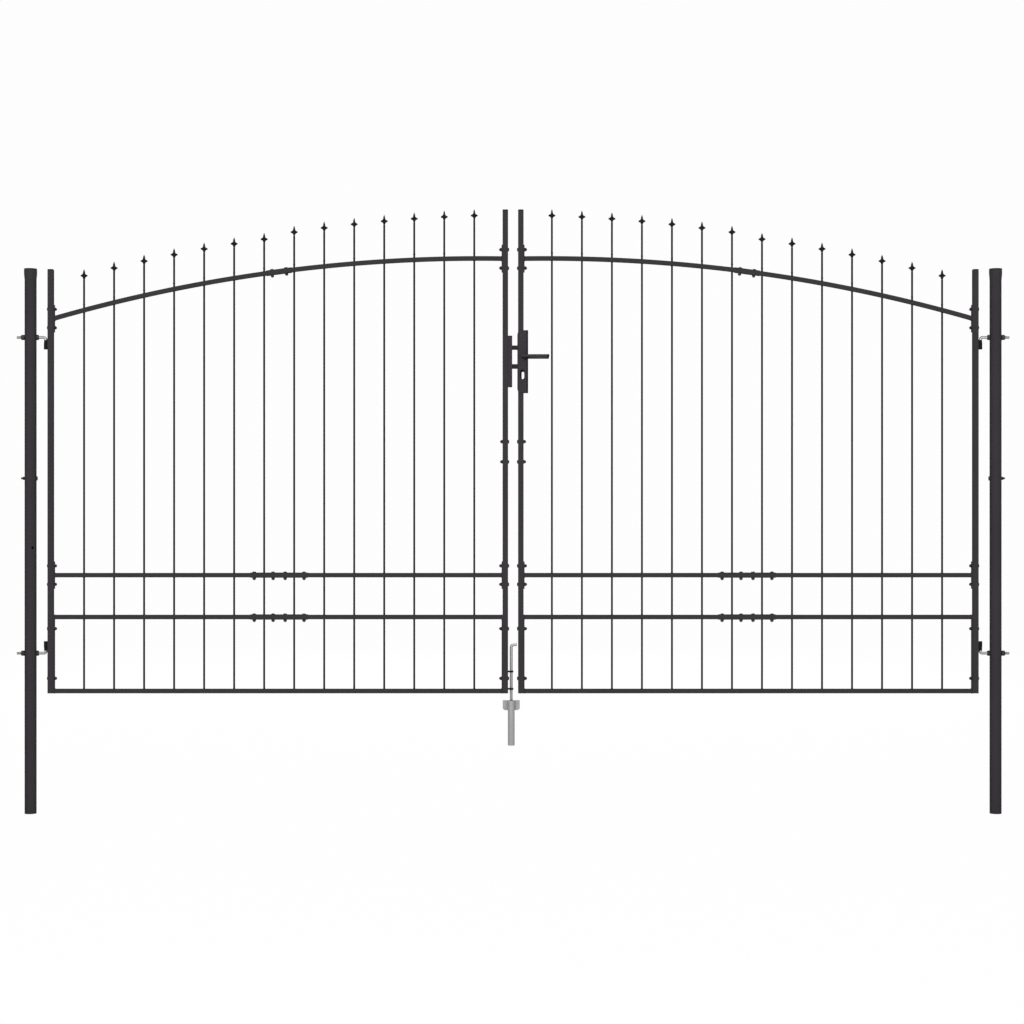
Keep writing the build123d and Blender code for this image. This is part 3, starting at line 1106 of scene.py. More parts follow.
@dataclass
class SpearBar:
    """A round bar with its spear head and the weld rings on it. Sizes are in millimetres.

    An arm's step is its share of the arm's reach, its scale in depth and its scale in height.
    """

    head_width: float = 28.0
    arm_root: float = 19.0
    arm_end: float = 5.0
    arm_steps: tuple[Place, ...] = ((0.22, 0.86, 0.66), (0.33, 0.74, 0.62))
    arm_last: tuple[float, float] = (0.45, 0.70)
    shoulder: float = 15.0
    shoulder_scale: float = 0.94
    tip: float = 26.5
    tip_steps: tuple[tuple[float, float], ...] = ((0.45, 0.62), (0.55, 0.16))
    neck_drop: float = 13.0
    neck_scale: float = 0.98
    neck_steps: tuple[tuple[float, float], ...] = ((1.2, 0.72), (1.6, 1.0))
    shaft_drop: float = 2.4
    head_edge: float = 1.3
    head_crease: float = 24.0
    shaft_edge: float = 0.8
    ring_above_arch: float = 13.0
    ring_height: float = 3.2
    ring_reach: float = 0.9
    ring_edge: float = 0.7
    bead_height: float = 2.0
    bead_sink: float = 0.4
    bead_reach: float = 1.7
    bead_lip: float = 0.1
    model_height: float = 2300.0
    sides: int = 14

    def head(self) -> Piece:
        """Models the spear head about the origin, its arms and its point pulled out of a block.

        Returns:
            The head, its cross arms at the origin's height.
        """
        radius = SIZES.bar_radius
        half = self.arm_root / 2
        head = Bench.box("spear_head", (-radius, -radius, -half), (radius, radius, half))
        reach = self.head_width / 2 - radius
        waist = self.arm_root * math.prod(tall for share, deep, tall in self.arm_steps)
        arm = (*self.arm_steps, (*self.arm_last, self.arm_end / waist))
        for way in (-1.0, 1.0):
            steps = [((way * reach * share, 0.0, 0.0), (1.0, deep, tall)) for share, deep, tall in arm]
            Bench.push(head, Bench.end_of(head, Direction.X, way), steps)
        point = self.tip - self.shoulder
        rises = [(point * share, scale) for share, scale in self.tip_steps]
        Bench.draw(head, Direction.Z, [(self.shoulder - half, self.shoulder_scale), *rises])
        Bench.draw(head, Direction.Z, [(self.neck_drop - half, self.neck_scale), *self.neck_steps], -1.0)
        Bench.edge_bevel(head, self.head_edge, 3, self.head_crease)
        return Bench.outward(Bench.apply(head))

    def bar(self) -> Piece:
        """Models the bar with its head, at X 0 and with its arms at the model height.

        Returns:
            The bar, to be copied and stretched to each place.
        """
        head = self.head()
        lifted = Bench.moved(head, "spear_head_up", (0.0, 0.0, self.model_height))
        Bench.discard(head)
        foot = SIZES.floor_rail
        length = self.model_height - self.neck_drop - self.shaft_drop - foot
        shaft = Bench.rod("shaft", (0.0, 0.0, foot), length, SIZES.bar_radius, Direction.Z, self.sides)
        Bench.round_edges(shaft, self.shaft_edge, 2, Bench.ring_above(SIZES.rail_one))
        half = SIZES.rail_side / 2
        beads = [self.bead(foot + half, True)]
        for rail in (SIZES.rail_two, SIZES.rail_one):
            beads += [self.bead(rail + half, True), self.bead(rail - half, False)]
        return Bench.join("bar_model", [lifted, shaft, *beads])

    def bead(self, height: float, above: bool) -> Piece:
        """Models the small weld bead where the bar passes a rail.

        Args:
            height: the rail's face.
            above: whether the bead lies on top of the rail.

        Returns:
            The bead.
        """
        radii = (SIZES.bar_radius + self.bead_reach, SIZES.bar_radius + self.bead_lip)
        start = height - self.bead_sink
        if not above:
            radii = radii[::-1]
            start = height + self.bead_sink - self.bead_height
        return Bench.cone("bead", (0.0, 0.0, start), self.bead_height, radii, self.sides)

    def collar(self) -> Piece:
        """Models the ring that sits on the bar over the arch, about the arch's centre line.

        Returns:
            The ring and the beads on the arch.
        """
        top = SIZES.rail_side / 2
        foot = (0.0, 0.0, top + self.ring_above_arch - self.ring_height / 2)
        radius = SIZES.bar_radius + self.ring_reach
        ring = Bench.rod("ring", foot, self.ring_height, radius, Direction.Z, self.sides)
        Bench.round_edges(ring, self.ring_edge, 2, Bench.ring_above(0.0))
        return Bench.join("collar_model", [ring, self.bead(top, True), self.bead(-top, False)])


@dataclass
class HalfPanel:
    """One welded half of a leaf's panel. Sizes are in millimetres."""

    half: Half
    corner: float = 1.7
    corner_steps: int = 3
    arch_overshoot: float = 30.0
    arch_steps: int = 36
    plate_edge: float = 0.7
    seam_reach: float = 1.3
    seam_sink: float = 0.3
    seam_width: float = 2.2
    seam_edge: float = 1.2

    @property
    def plate_at(self) -> tuple[float, float]:
        """Finds the end plates.

        Returns:
            Where their two faces lie.
        """
        if self.half is Half.OUTER:
            return SIZES.panel_start, SIZES.panel_start + SIZES.plate_thickness
        return SIZES.panel_end - SIZES.plate_thickness, SIZES.panel_end

    @property
    def ends(self) -> tuple[float, float]:
        """Where the rails start and end."""
        near, far = self.plate_at
        return (far, SIZES.splice) if self.half is Half.OUTER else (SIZES.splice, near)

    @property
    def bars(self) -> range:
        """Which bars stand in this half."""
        first = 0 if self.half is Half.OUTER else SIZES.bars_in_half
        return range(first, first + SIZES.bars_in_half)

    def rail(self, height: float) -> Piece:
        """Models a level tube with rounded corners.

        Args:
            height: the height of its centre line.

        Returns:
            The tube.
        """
        start, end = self.ends
        side = SIZES.rail_side / 2
        tube = Bench.box("rail", (start, -side, height - side), (end, side, height + side))
        return Bench.round_edges(tube, self.corner, self.corner_steps, Bench.along(Direction.X))

    def arch(self) -> Piece:
        """Models the curved tube: a rounded square, spun about the arch's centre and cut upright.

        Returns:
            The tube.
        """
        start, end = self.ends
        centre = SIZES.arch_centre
        first = SIZES.arch_lean(start - self.arch_overshoot)
        last = SIZES.arch_lean(end + self.arch_overshoot)
        spot = centre + Vector((math.sin(first), 0.0, math.cos(first))) * (SIZES.arch_radius * MM)
        turn = (0.0, first + math.pi / 2, 0.0)
        bpy.ops.mesh.primitive_plane_add(size=SIZES.rail_side * MM, location=spot, rotation=turn)
        tube = Bench.settle(bpy.context.object, "arch")
        Bench.open_all(tube)
        bpy.ops.mesh.bevel(offset=self.corner * MM, segments=self.corner_steps, affect="VERTICES")
        axis = Direction.Y.vector
        Bench.spin(tube, lambda middle, normal: True, centre, axis, last - first, self.arch_steps)
        Bench.outward(tube)
        Bench.trim(tube, start, True)
        return Bench.trim(tube, end, False)

    def end_plate(self, low: float, high: float) -> Piece:
        """Models a flat plate at the stile.

        Args:
            low: the height of its lower end.
            high: the height of its upper end.

        Returns:
            The plate.
        """
        near, far = self.plate_at
        side = SIZES.stile_side / 2
        plate = Bench.box("end_plate", (near, -side, low), (far, side, high))
        return Bench.round_edges(plate, self.plate_edge, 2)

    def seam(self, height: float) -> Piece:
        """Models the weld bead where a rail meets its end plate.

        Args:
            height: the height of the rail's centre line.

        Returns:
            The bead.
        """
        near, far = self.plate_at
        face, way = (far, 1.0) if self.half is Half.OUTER else (near, -1.0)
        side = SIZES.rail_side / 2 + self.seam_reach
        low, high = sorted((face - self.seam_sink * way, face + self.seam_width * way))
        bead = Bench.box("seam", (low, -side, height - side), (high, side, height + side))
        return Bench.round_edges(bead, self.seam_edge, 3)

    def build(self, bar: Piece, collar: Piece) -> Piece:
        """Builds the half panel of the left leaf.

        Args:
            bar: the bar to copy.
            collar: the ring to copy.

        Returns:
            The half panel as one piece.
        """
        levels = (SIZES.rail_one, SIZES.rail_two, SIZES.floor_rail)
        arch_level = SIZES.arch_height(self.plate_at[0])
        reach = SIZES.end_plate_height / 2
        parts = [self.arch(), *(self.rail(height) for height in levels)]
        parts += [self.end_plate(height - reach, height + reach) for height in (arch_level, SIZES.rail_one)]
        parts.append(self.end_plate(SIZES.bottom, SIZES.rail_two + SIZES.rail_side / 2))
        parts += [self.seam(height) for height in (*levels, arch_level)]
        for part in parts:
            dress(part, Finishes.BLACK_COAT)
        for index in self.bars:
            x = SIZES.bar_x(index)
            stretch = SIZES.spear_height(index) - SpearBar.model_height

            def stand(point: Vector, x: float = x, stretch: float = stretch) -> Vector:
                """Moves the bar to its place and lifts its upper end."""
                lift = stretch if point.z > SIZES.rail_one + SIZES.rail_side else 0.0
                return point + Vector((x, 0.0, lift))

            parts.append(Bench.copy(bar, "bar", stand))
            parts.append(Bench.moved(collar, "ring", (x, 0.0, SIZES.arch_height(x))))
        panel = Bench.join(f"left_{self.half.value}_panel", parts)
        return Bench.soften(panel)


@dataclass
class Fasteners:
    """Dome-headed bolts with their nuts, modelled once and copied. Sizes are in millimetres."""

    head_radius: float = 8.0
    head_height: float = 4.7
    low_head_height: float = 4.2
    head_rim: float = 0.3
    dome_steps: tuple[tuple[float, float], ...] = ((0.35, 0.88), (0.22, 0.74), (0.13, 0.55))
    head_sides: int = 20
    thread: float = 6.0
    thread_sides: int = 12
    thread_lead: tuple[float, float] = (0.6, 0.7)
    core_step: float = 0.4
    thread_depth: float = 0.6
    thread_pitch: float = 1.0
    nut_flats: float = 13.0
    nut_height: float = 6.0
    nut_lead: tuple[float, float] = (0.8, 0.86)
    nut_sink: float = 0.1
    washer: float = 1.4
    washer_reach: float = 1.6
    edge: float = 0.4
    stub: float = 4.0
    channel_wall: float = 1.5
    stile_levels: tuple[float, ...] = (2308.6, 2232.9, 1522.1, 1439.8, 1013.8, 938.0, 756.5, 552.9)
    hinge_levels: tuple[float, ...] = (2064.4, 1988.6, 1013.8, 938.0, 756.5, 552.9)
    splice_levels: tuple[float, ...] = (1522.1, 1439.8)
    rail_spots: tuple[float, ...] = (-102.0, -24.6, 24.6, 102.0)
    arch_spots: tuple[float, ...] = (-29.0, 29.0)

    def head(self, height: float) -> Piece:
        """Models a dome head that stands on the origin, along +Z.

        Args:
            height: the height of the dome.

        Returns:
            The head.
        """
        rim = height * self.head_rim
        head = Bench.rod("head", ORIGIN, rim, self.head_radius, Direction.Z, self.head_sides)
        return Bench.draw(head, Direction.Z, [(height * share, scale) for share, scale in self.dome_steps])

    def nut(self) -> Piece:
        """Models a hexagon nut with a washer and the bolt's end, standing on the origin along +Z.

        Returns:
            The nut, its washer and the threaded end.
        """
        rim = self.nut_flats / 2 + self.washer_reach
        washer = Bench.rod("washer", ORIGIN, self.washer, rim, Direction.Z, self.head_sides)
        Bench.round_edges(washer, self.edge, 2)
        foot = (0.0, 0.0, self.washer - self.nut_sink)
        nut = Bench.rod("nut", foot, self.nut_height, hexagon_radius(self.nut_flats), Direction.Z, HEXAGON)
        Bench.draw(nut, Direction.Z, [self.nut_lead])
        Bench.round_edges(nut, self.edge, 1)
        radius = self.thread / 2
        length = self.nut_height + self.stub
        core = radius - self.core_step
        shank = Bench.rod("shank", ORIGIN, length, core, Direction.Z, self.thread_sides)
        Bench.draw(shank, Direction.Z, [self.thread_lead])
        start = (0.0, 0.0, self.nut_height + self.thread_pitch)
        cut = ThreadCut(radius, self.thread_depth, self.thread_pitch)
        ridge = cut.coil("ridge", start, self.stub - self.thread_pitch, Direction.Z)
        return Bench.join("nut_model", [washer, nut, shank, ridge])

    @staticmethod
    def at(model: Piece, place: Place, turn: Matrix) -> Piece:
        """Copies a model that stands along +Z to a place, turned."""
        return Bench.copy(model, "fastener", lambda point: turn @ point + Vector(place))

    def build(self) -> Piece:
        """Builds all bolts of the left leaf as one piece.

        Returns:
            The bolts.
        """
        tall, low, nut = self.head(self.head_height), self.head(self.low_head_height), self.nut()
        right = Matrix.Rotation(math.pi / 2, 3, "Y")
        left = Matrix.Rotation(-math.pi / 2, 3, "Y")
        up = Matrix.Identity(3)
        down = Matrix.Rotation(math.pi, 3, "X")
        spots = []
        for height in self.stile_levels:
            plate = 0.0 if height in self.splice_levels else SIZES.plate_thickness
            spots.append((tall, (SIZES.leaf_end, 0.0, height), right))
            spots.append((nut, (SIZES.panel_end - plate, 0.0, height), left))
        for height in self.hinge_levels:
            spots.append((low, (SIZES.leaf_start, 0.0, height), left))
            spots.append((nut, (SIZES.panel_start + SIZES.plate_thickness, 0.0, height), right))
        channel = SIZES.rail_side / 2 + self.channel_wall
        for level in (SIZES.rail_one, SIZES.rail_two):
            for spot in self.rail_spots:
                spots.append((tall, (SIZES.splice + spot, 0.0, level + channel), up))
                spots.append((nut, (SIZES.splice + spot, 0.0, level - channel), down))
        for spot in self.arch_spots:
            x = SIZES.splice + spot
            lean = Matrix.Rotation(SIZES.arch_lean(x), 3, "Y")
            out = lean @ Vector((0.0, 0.0, channel))
            line = Vector((x, 0.0, SIZES.arch_height(x)))
            spots.append((low, tuple(line + out), lean))
            spots.append((nut, tuple(line - out), lean @ down))
        bolts = Bench.join("left_panel_bolts", [self.at(*spot) for spot in spots])
        Bench.discard(tall, low, nut)
        return Bench.soften(bolts)


@dataclass
class HingeRods:
    """The threaded and bent rods that carry a leaf, with their nuts. Sizes are in millimetres."""

    radius: float = 6.0
    core_step: float = 0.55
    tail: float = 32.0
    bend: float = 9.0
    bend_steps: int = 10
    pin: float = 49.0
    pin_lead: float = 1.0
    pin_scale: float = 0.82
    tail_scale: float = 0.9
    thread_length: float = 70.0
    thread_depth: float = 0.75
    thread_pitch: float = 1.75
    thread_start: float = 0.8
    thread_runout: float = 0.6
    corner_turn: float = math.pi / HEXAGON
    nut_flats: float = 19.0
    inner_nut: float = 9.6
    outer_nut: float = 13.2
    nut_taper: float = 3.2
    taper_scales: tuple[float, ...] = (0.90, 0.78)
    nut_edge: float = 0.5
    washer: float = 1.8
    washer_radius: float = 11.0
    washer_sink: float = 0.1
    washer_edge: float = 0.4

    def rod(self, name: str, height: float, up: bool) -> Piece:
        """Models one rod of the left post.

        Args:
            name: the name of the piece.
            height: the height of its level run.
            up: whether its pin points up.

        Returns:
            The rod with its thread.
        """
        start = -SIZES.post_radius - self.tail
        corner = SIZES.hinge_axis - self.bend
        way = 1.0 if up else -1.0
        core = self.radius - self.core_step
        rod = Bench.rod(name, (start, 0.0, height), self.thread_length, core, Direction.X, 24)
        smooth = corner - start - self.thread_length - self.thread_runout
        Bench.draw(rod, Direction.X, [(self.thread_runout, self.radius / core), (smooth, 1.0)])
        centre = Vector((corner, 0.0, height + way * self.bend)) * MM
        turn = way * math.pi / 2
        end = Bench.end_of(rod, Direction.X)
        Bench.spin(rod, end, centre, -Direction.Y.vector, turn, self.bend_steps)
        run = self.pin - self.bend - self.pin_lead
        Bench.draw(rod, Direction.Z, [(run, 1.0), (self.pin_lead, self.pin_scale)], way)
        Bench.draw(rod, Direction.X, [(0.0, self.tail_scale)], -1.0)
        thread = ThreadCut(self.radius, self.thread_depth, self.thread_pitch)
        length = self.thread_length - self.thread_runout
        ridge = thread.coil("ridge", (start + self.thread_start, 0.0, height), length, Direction.X)
        return Bench.soften(Bench.join(name, [Bench.outward(rod), ridge]))

    def nut(self, height: float) -> Piece:
        """Models a nut with its washer, standing on the origin along +Z, corners up and down.

        Args:
            height: the height of the nut alone.

        Returns:
            The nut and its washer.
        """
        foot = (0.0, 0.0, self.washer)
        body = height - self.nut_taper
        nut = Bench.rod("nut", foot, body, hexagon_radius(self.nut_flats), Direction.Z, HEXAGON)
        nut = Bench.turned(nut, "nut_corners", Matrix.Rotation(self.corner_turn, 3, "Z"))
        Bench.draw(nut, Direction.Z, [(self.nut_taper / 2, scale) for scale in self.taper_scales])
        Bench.round_edges(nut, self.nut_edge, 2)
        thick = self.washer + self.washer_sink
        ring = Bench.rod("washer", ORIGIN, thick, self.washer_radius, Direction.Z, 28)
        Bench.round_edges(ring, self.washer_edge, 1)
        return Bench.join("hinge_nut", [nut, ring])

    def nuts(self) -> Piece:
        """Models the four nuts of the left post.

        Returns:
            The nuts with their washers, as one piece.
        """
        models = {-1.0: self.nut(self.outer_nut), 1.0: self.nut(self.inner_nut)}
        made = []
        for height in (SIZES.top_rod, SIZES.bottom_rod):
            for way, model in models.items():
                turn = Matrix.Rotation(way * math.pi / 2, 3, "Y")
                made.append(Fasteners.at(model, (way * SIZES.post_radius, 0.0, height), turn))
        Bench.discard(*models.values())
        return Bench.soften(Bench.join("left_hinge_nut_set", made), Bench.FINE_CREASE)


@dataclass
class HingeBarrels:
    """The barrels on the hinge stile, each with a collar at the rod's bend. Sizes are in millimetres."""

    radius: float = 8.5
    bore: float = 6.3
    length: float = 38.0
    collar: float = 12.0
    collar_radius: float = 7.9
    groove: float = 1.4
    groove_radius: float = 7.1
    from_rod: float = 11.0
    lead: float = 2.0
    lead_scale: float = 0.86
    sides: int = 32
    drill_overrun: float = 1.0
    weld_half: float = 4.6
    weld_end: float = 3.0
    weld_wall: float = 0.4
    weld_edge: float = 0.8

    def model(self) -> Piece:
        """Models a barrel on the origin along +Z, its collar at the top.

        Returns:
            The barrel with its bore and the weld that holds it.
        """
        body = self.length - self.collar
        barrel = Bench.rod("barrel", ORIGIN, body, self.radius, Direction.Z, self.sides)
        steps = [
            (0.0, self.groove_radius / self.radius),
            (self.groove, 1.0),
            (0.0, self.collar_radius / self.groove_radius),
            (self.collar - self.groove - self.lead, 1.0),
            (self.lead, self.lead_scale),
        ]
        Bench.draw(barrel, Direction.Z, steps)
        deep = self.length + 2 * self.drill_overrun
        foot = (0.0, 0.0, -self.drill_overrun)
        drill = Bench.rod("drill", foot, deep, self.bore, Direction.Z, self.sides)
        cut = barrel.modifiers.new("bore", "BOOLEAN")
        cut.operation = "DIFFERENCE"
        cut.object = drill
        Bench.apply(barrel)
        Bench.discard(drill)
        low = (self.bore + self.weld_wall, -self.weld_half, self.weld_end)
        weld = Bench.box("weld", low, (self.radius, self.weld_half, body - self.weld_end))
        Bench.round_edges(weld, self.weld_edge, 2)
        return Bench.join("barrel_model", [barrel, weld])

    def build(self) -> Piece:
        """Builds the two barrels of the left leaf, the lower one upside down.

        Returns:
            The barrels as one piece.
        """
        model = self.model()
        top = (SIZES.hinge_axis, 0.0, SIZES.top_rod - self.from_rod - self.length)
        low = (SIZES.hinge_axis, 0.0, SIZES.bottom_rod + self.from_rod + self.length)
        over = Matrix.Rotation(math.pi, 3, "X")
        made = [Bench.moved(model, "barrel", top), Fasteners.at(model, low, over)]
        Bench.discard(model)
        return Bench.soften(Bench.outward(Bench.join("left_hinge_barrel_pair", made)))


@dataclass
class PostCap:
    """The push-on cap of a post, with a proud lip and a drawn-in hem. Sizes are in millimetres.

    A ring is its rise over the one below and its radius.
    """

    top: float = 2230.4
    hem: float = 2187.0
    hem_height: float = 3.0
    hem_radius: float = 24.6
    bore: float = 24.2
    tube_top: float = 2229.0
    edge: float = 0.5
    edge_scale: float = 0.97
    sides: int = 56
    rings: tuple[tuple[float, float], ...] = (
        (8.0, 25.3), (7.0, 26.0), (8.0, 26.4), (8.0, 26.35), (4.6, 26.1), (0.5, 25.7), (0.7, 26.2)
    )

    def build(self) -> Piece:
        """Builds the left post's cap.

        Returns:
            The cap, pushed up from its hem ring by ring.
        """
        foot = (0.0, 0.0, self.hem)
        cap = Bench.rod("left_cap", foot, self.hem_height, self.hem_radius, Direction.Z, self.sides)
        radii = [self.hem_radius, *(radius for rise, radius in self.rings)]
        steps = [(rise, radius / below) for (rise, radius), below in zip(self.rings, radii)]
        climb = self.hem + self.hem_height + sum(rise for rise, radius in self.rings)
        steps += [(self.top - self.edge - climb, 1.0), (self.edge, self.edge_scale)]
        Bench.draw(cap, Direction.Z, steps)
        hollow = [(0.0, self.bore / self.hem_radius), (self.hem - self.tube_top, 1.0)]
        Bench.draw(cap, Direction.Z, hollow, -1.0)
        return Bench.soften(cap, Bench.FINE_CREASE)


@dataclass
class LeverSet:
    """The two lever handles on their spindle. Sizes are in millimetres."""

    backset: float = 20.0
    height: float = 1871.0
    plate_face: float = 16.0
    neck_length: float = 34.0
    neck_radius: float = 7.0
    neck_step: float = 0.6
    neck_gap: float = 0.3
    round_sides: int = 28
    rose: float = 2.6
    rose_edge: float = 0.8
    length: float = 114.0
    tall: float = 12.0
    thick: float = 12.0
    corner: float = 3.6
    heel_edge: float = 1.2
    end_cap: float = 8.0
    end_edge: float = 2.0
    spindle_half: float = 4.0
    spindle_reach: float = 17.0
    spindle_edge: float = 0.5

    @property
    def spindle_x(self) -> float:
        """Where the spindle stands."""
        return SIZES.lock_face + self.backset

    @property
    def end(self) -> float:
        """Where the grips end."""
        return self.spindle_x - self.neck_radius + self.length

    def block(self, name: str, side: float, start: float, end: float) -> Piece:
        """Models a length of a grip, rounded along its edges.

        Args:
            name: the name of the piece.
            side: -1 in front, 1 behind.
            start: where it starts.
            end: where it ends.

        Returns:
            The block.
        """
        outer = side * (self.plate_face + self.neck_length)
        low, high = sorted((outer, outer - side * self.thick))
        half = self.tall / 2
        block = Bench.box(name, (start, low, self.height - half), (end, high, self.height + half))
        return Bench.round_edges(block, self.corner, 5, Bench.along(Direction.X))

    def grip(self, side: float) -> Piece:
        """Models the straight grip on one face of the lock, up to its end cap.

        Args:
            side: -1 in front, 1 behind.

        Returns:
            The grip.
        """
        start = self.spindle_x - self.neck_radius
        grip = self.block("grip", side, start, self.end - self.end_cap)
        heel = start + Bench.TOUCH
        return Bench.round_edges(grip, self.heel_edge, 3, lambda middle, way: middle.x < heel)

    def neck(self, side: float) -> Piece:
        """Models the neck with the rose at its foot.

        Args:
            side: -1 in front, 1 behind.

        Returns:
            The neck and the rose.
        """
        foot = (self.spindle_x, side * (self.plate_face + self.neck_gap), self.height)
        length = side * (self.neck_length - self.thick / 2)
        radius, sides = self.neck_radius - self.neck_step, self.round_sides
        neck = Bench.rod("neck", foot, length, radius, Direction.Y, sides)
        rose = Bench.rod("rose", foot, side * self.rose, self.neck_radius, Direction.Y, sides)
        Bench.round_edges(rose, self.rose_edge, 3)
        return Bench.join("neck", [neck, rose])

    def caps(self) -> Piece:
        """Models the darker end caps of the two grips.

        Returns:
            The caps as one piece.
        """
        made = []
        face = self.end - Bench.TOUCH
        for side in (-1.0, 1.0):
            cap = self.block("cap", side, self.end - self.end_cap, self.end)
            made.append(Bench.round_edges(cap, self.end_edge, 4, lambda middle, way: middle.x > face))
        return Bench.soften(Bench.join("lever_end_caps", made))

    def build(self) -> Piece:
        """Builds the levers on their square spindle.

        Returns:
            The levers.
        """
        x, half, reach = self.spindle_x, self.spindle_half, self.spindle_reach
        low, high = (x - half, -reach, self.height - half), (x + half, reach, self.height + half)
        made = [Bench.round_edges(Bench.box("spindle", low, high), self.spindle_edge, 2)]
        for side in (-1.0, 1.0):
            made += [self.grip(side), self.neck(side)]
        return Bench.soften(Bench.join("lever_pair", made))


@dataclass
class LockScrewsAndShade:
    """The small screw under the lever on each cover plate, near black to paint the spot of shade under the
    lever's root. Sizes are in millimetres.
    """

    across: float = 2026.4
    height: float = 1857.5
    plate_face: float = 16.0
    radius: float = 2.8
    thick: float = 1.6
    edge: float = 0.5
    sides: int = 20

    def build(self) -> Piece:
        """Builds the screws.

        Returns:
            The two screws as one piece.
        """
        made = []
        for way in (-1.0, 1.0):
            foot = (self.across, way * self.plate_face, self.height)
            head = Bench.rod("screw", foot, way * self.thick, self.radius, Direction.Y, self.sides)
            made.append(Bench.round_edges(head, self.edge, 2))
        return Bench.soften(Bench.join("lock_screws_and_shade", made))


@dataclass
class DropBoltRod:
    """The round drop bolt with its bent handle. Sizes are in millimetres."""

    from_stile: float = 13.0
    radius: float = 6.0
    top: float = 697.0
    foot: float = 400.0
    foot_lead: float = 4.0
    foot_scale: float = 0.62
    bend: float = 12.0
    bend_steps: int = 10
    reach: float = 22.5
    end_lead: float = 1.2
    end_scale: float = 0.8
    sides: int = 28

    def build(self) -> Piece:
        """Builds the bolt.

        Returns:
            The bolt with a tapered foot and a handle.
        """
        x = SIZES.leaf_end + self.from_stile
        start = self.foot + self.foot_lead
        bend_start = self.top - self.radius - self.bend
        place = (x, 0.0, start)
        length = bend_start - start
        rod = Bench.rod("drop_bolt_rod", place, length, self.radius, Direction.Z, self.sides)
        Bench.draw(rod, Direction.Z, [(self.foot_lead, self.foot_scale)], -1.0)
        centre = Vector((x + self.bend, 0.0, bend_start)) * MM
        end = Bench.end_of(rod, Direction.Z)
        Bench.spin(rod, end, centre, Direction.Y.vector, math.pi / 2, self.bend_steps)
        run = self.reach - self.bend - self.end_lead
        Bench.draw(rod, Direction.X, [(run, 1.0), (self.end_lead, self.end_scale)])
        return Bench.soften(Bench.outward(rod))


@dataclass
class SolidDresser:
    """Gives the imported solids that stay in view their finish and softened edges."""

    edge_width: float = 0.6
    flat_angle: float = 0.5
    sharp_angle: float = 40.0

    def soften_edges(self, node: Piece) -> None:
        """Adds modifiers that merge, clean and round a solid's edges.

        Args:
            node: the solid's node.
        """
        node.modifiers.new("merge", "WELD").merge_threshold = MERGE_DISTANCE
        flat = node.modifiers.new("flat", "DECIMATE")
        flat.decimate_type = "DISSOLVE"
        flat.angle_limit = math.radians(self.flat_angle)
        Bench.edge_bevel(node, self.edge_width, 2, self.sharp_angle).use_clamp_overlap = True

    def dress_all(self) -> None:
        """Dresses every node by the record's slots."""
        for row in frame["record"]["subparts"]:
            node = frame["nodes"][row["node"]]
            finish = Finishes.BY_NODE.get(row["node"], Finishes.BY_SLOT[row["material_slot"]])
            node.data.materials.clear()
            node.data.materials.append(finish.material())
            if not node.hide_render:
                self.soften_edges(node)


@dataclass(frozen=True)
class Lamp:
    """A square soft light. Distances are in metres, the power is in watts."""

    name: str
    place: Place
    power: float
    size: float = 4.0

    def stand(self, aim: Place) -> None:
        """Adds the lamp to the scene.

        Args:
            aim: the point it shines at.
        """
        data = bpy.data.lights.new(self.name, "AREA")
        data.shape = "SQUARE"
        data.size = self.size
        data.energy = self.power
        made = bpy.data.objects.new(self.name, data)
        made.location = self.place
        made.rotation_euler = (Vector(aim) - Vector(self.place)).to_track_quat("-Z", "Y").to_euler()
        bpy.context.scene.collection.objects.link(made)


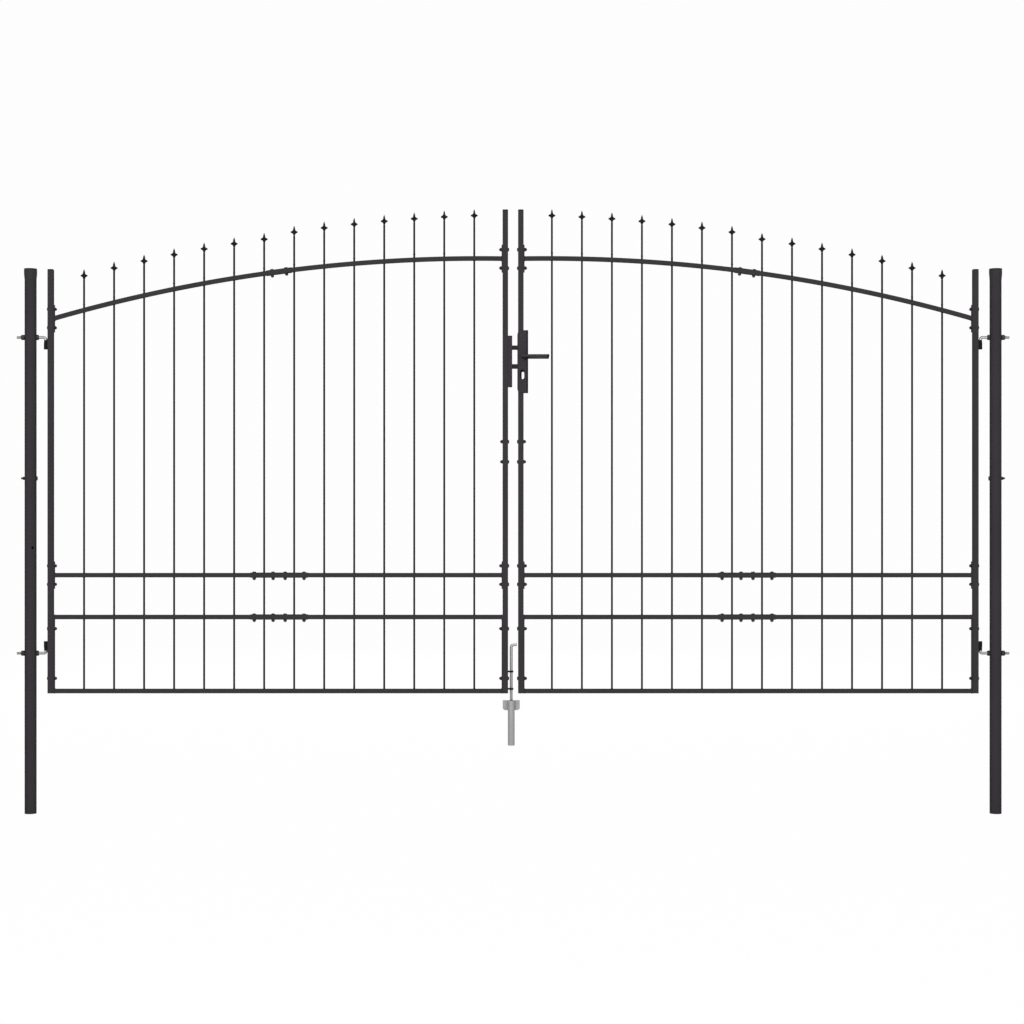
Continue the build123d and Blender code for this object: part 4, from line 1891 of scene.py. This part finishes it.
@dataclass
class Studio:
    """The floor, the lights and the camera. Distances are in metres."""

    camera_place: Place = (1.9716, -8.015, 1.2341)
    lens: float = 68.8
    sensor: float = 36.0
    sight: float = 200.0
    floor_size: float = 160.0
    floor_drop: float = 0.001
    floor_colour: Colour = grey(0.82)
    floor_seen: float = 0.98
    world_light: float = 0.3
    world_seen: float = 0.985
    aim_height: float = 1.3
    lamps: tuple[Lamp, ...] = (
        Lamp("key", (-0.5, -8.5, 4.5), 420.0),
        Lamp("fill", (5.5, -8.0, 2.8), 220.0),
        Lamp("back", (2.0, 8.0, 4.5), 420.0),
    )

    def camera(self) -> None:
        """Adds the camera that looks straight at the gate."""
        data = bpy.data.cameras.new("camera")
        data.lens = self.lens
        data.sensor_width = self.sensor
        data.clip_end = self.sight
        made = bpy.data.objects.new("camera", data)
        made.location = self.camera_place
        made.rotation_euler = (math.pi / 2, 0.0, 0.0)
        bpy.context.scene.collection.objects.link(made)
        bpy.context.scene.camera = made

    @staticmethod
    def show(work: NodeWork, out: str, share: float, lighting: Socket, seen: Socket) -> None:
        """Lights with one shader and shows another to the camera and in reflections.

        Args:
            work: the node tree.
            out: the kind of the output node.
            share: how much of the shown shader is seen.
            lighting: the shader that lights the object.
            seen: the shader that is shown.
        """
        path = work.add("ShaderNodeLightPath")
        looks = work.math("MAXIMUM", path.outputs["Is Camera Ray"], path.outputs["Is Glossy Ray"])
        inputs = {0: work.math("MULTIPLY", looks, share), 1: lighting, 2: seen}
        work.add(out, {"Surface": work.add("ShaderNodeMixShader", inputs).outputs["Shader"]})

    def floor(self) -> None:
        """Adds the pale floor under the posts' feet, nearly white to the camera."""
        place = (SIZES.middle * MM, 0.0, -self.floor_drop)
        bpy.ops.object.select_all(action="DESELECT")
        bpy.ops.mesh.primitive_plane_add(size=self.floor_size, location=place)
        floor = Bench.settle(bpy.context.object, "studio_floor")
        paper = bpy.data.materials.new("studio_floor")
        paper.use_nodes = True
        work = NodeWork(paper.node_tree)
        paint = work.add("ShaderNodeBsdfDiffuse", {"Color": self.floor_colour}).outputs["BSDF"]
        white = work.add("ShaderNodeEmission", {"Color": grey(1.0), "Strength": 1.0}).outputs["Emission"]
        self.show(work, "ShaderNodeOutputMaterial", self.floor_seen, paint, white)
        floor.data.materials.append(paper)

    def world(self) -> None:
        """Makes a pale world, white where the camera looks at it."""
        made = bpy.data.worlds.new("studio")
        made.use_nodes = True
        work = NodeWork(made.node_tree)
        skies = []
        for strength in (self.world_light, self.world_seen):
            sky = work.add("ShaderNodeBackground", {"Color": grey(1.0), "Strength": strength})
            skies.append(sky.outputs["Background"])
        self.show(work, "ShaderNodeOutputWorld", 1.0, *skies)
        bpy.context.scene.world = made

    def build(self) -> None:
        """Sets up the whole studio."""
        bpy.context.scene.view_settings.view_transform = "Standard"
        self.world()
        self.floor()
        for lamp in self.lamps:
            lamp.stand((SIZES.middle * MM, 0.0, self.aim_height))
        self.camera()


def build_leaves() -> None:
    """Builds the panels and the bolts that ride with the leaves."""
    spear_bar = SpearBar()
    bar = dress(spear_bar.bar(), Finishes.BAR_BLACK)
    collar = dress(spear_bar.collar(), Finishes.BAR_BLACK)
    for half in Half:
        place_pair(HalfPanel(half).build(bar, collar), LEAVES, f"{half.value}_half_panel")
    Bench.discard(bar, collar)
    place_pair(dress(Fasteners().build(), Finishes.BLACK_FASTENER), LEAVES)


def build_hinges() -> None:
    """Builds the hinge rods with their nuts, the post caps and the barrels."""
    rods = HingeRods()
    top = rods.rod("left_top_rod", SIZES.top_rod, False)
    low = rods.rod("left_bottom_rod", SIZES.bottom_rod, True)
    made = [
        (top, Finishes.ZINC_ROD, "top_hinge_rod"),
        (low, Finishes.ZINC_ROD, "bottom_hinge_rod"),
        (rods.nuts(), Finishes.BLACK_FASTENER, "hinge_nuts"),
        (PostCap().build(), Finishes.BLACK_CAP, "post_cap"),
    ]
    for piece, finish, node in made:
        place_pair(dress(piece, finish), (Body.POSTS, Body.POSTS), node)
    place_pair(dress(HingeBarrels().build(), Finishes.BAR_BLACK), LEAVES, "hinge_barrels")


def build_lock_and_bolt() -> None:
    """Builds the levers, the lock's screws and the drop bolt."""
    # The lock's screws wear the near-black painted shade, for the dark spot under the lever's root.
    place_piece(dress(LockScrewsAndShade().build(), Finishes.CASE_PAINTED_SHADE), Body.RIGHT_LEAF)
    levers = LeverSet()
    place_piece(dress(levers.build(), Finishes.LEVER_BLACK), Body.LEVER, "lever_handles")
    place_piece(dress(levers.caps(), Finishes.LEVER_CAP), Body.LEVER)
    place_piece(dress(DropBoltRod().build(), Finishes.ZINC_ROD), Body.DROP, "drop_bolt")


def main() -> None:
    """Builds the looks of the gate."""
    logging.basicConfig(level=logging.INFO, format="%(name)s %(message)s")
    bpy.ops.object.select_all(action="DESELECT")
    build_leaves()
    build_hinges()
    build_lock_and_bolt()
    SolidDresser().dress_all()
    Studio().build()


if __name__ == "__main__":
    main()
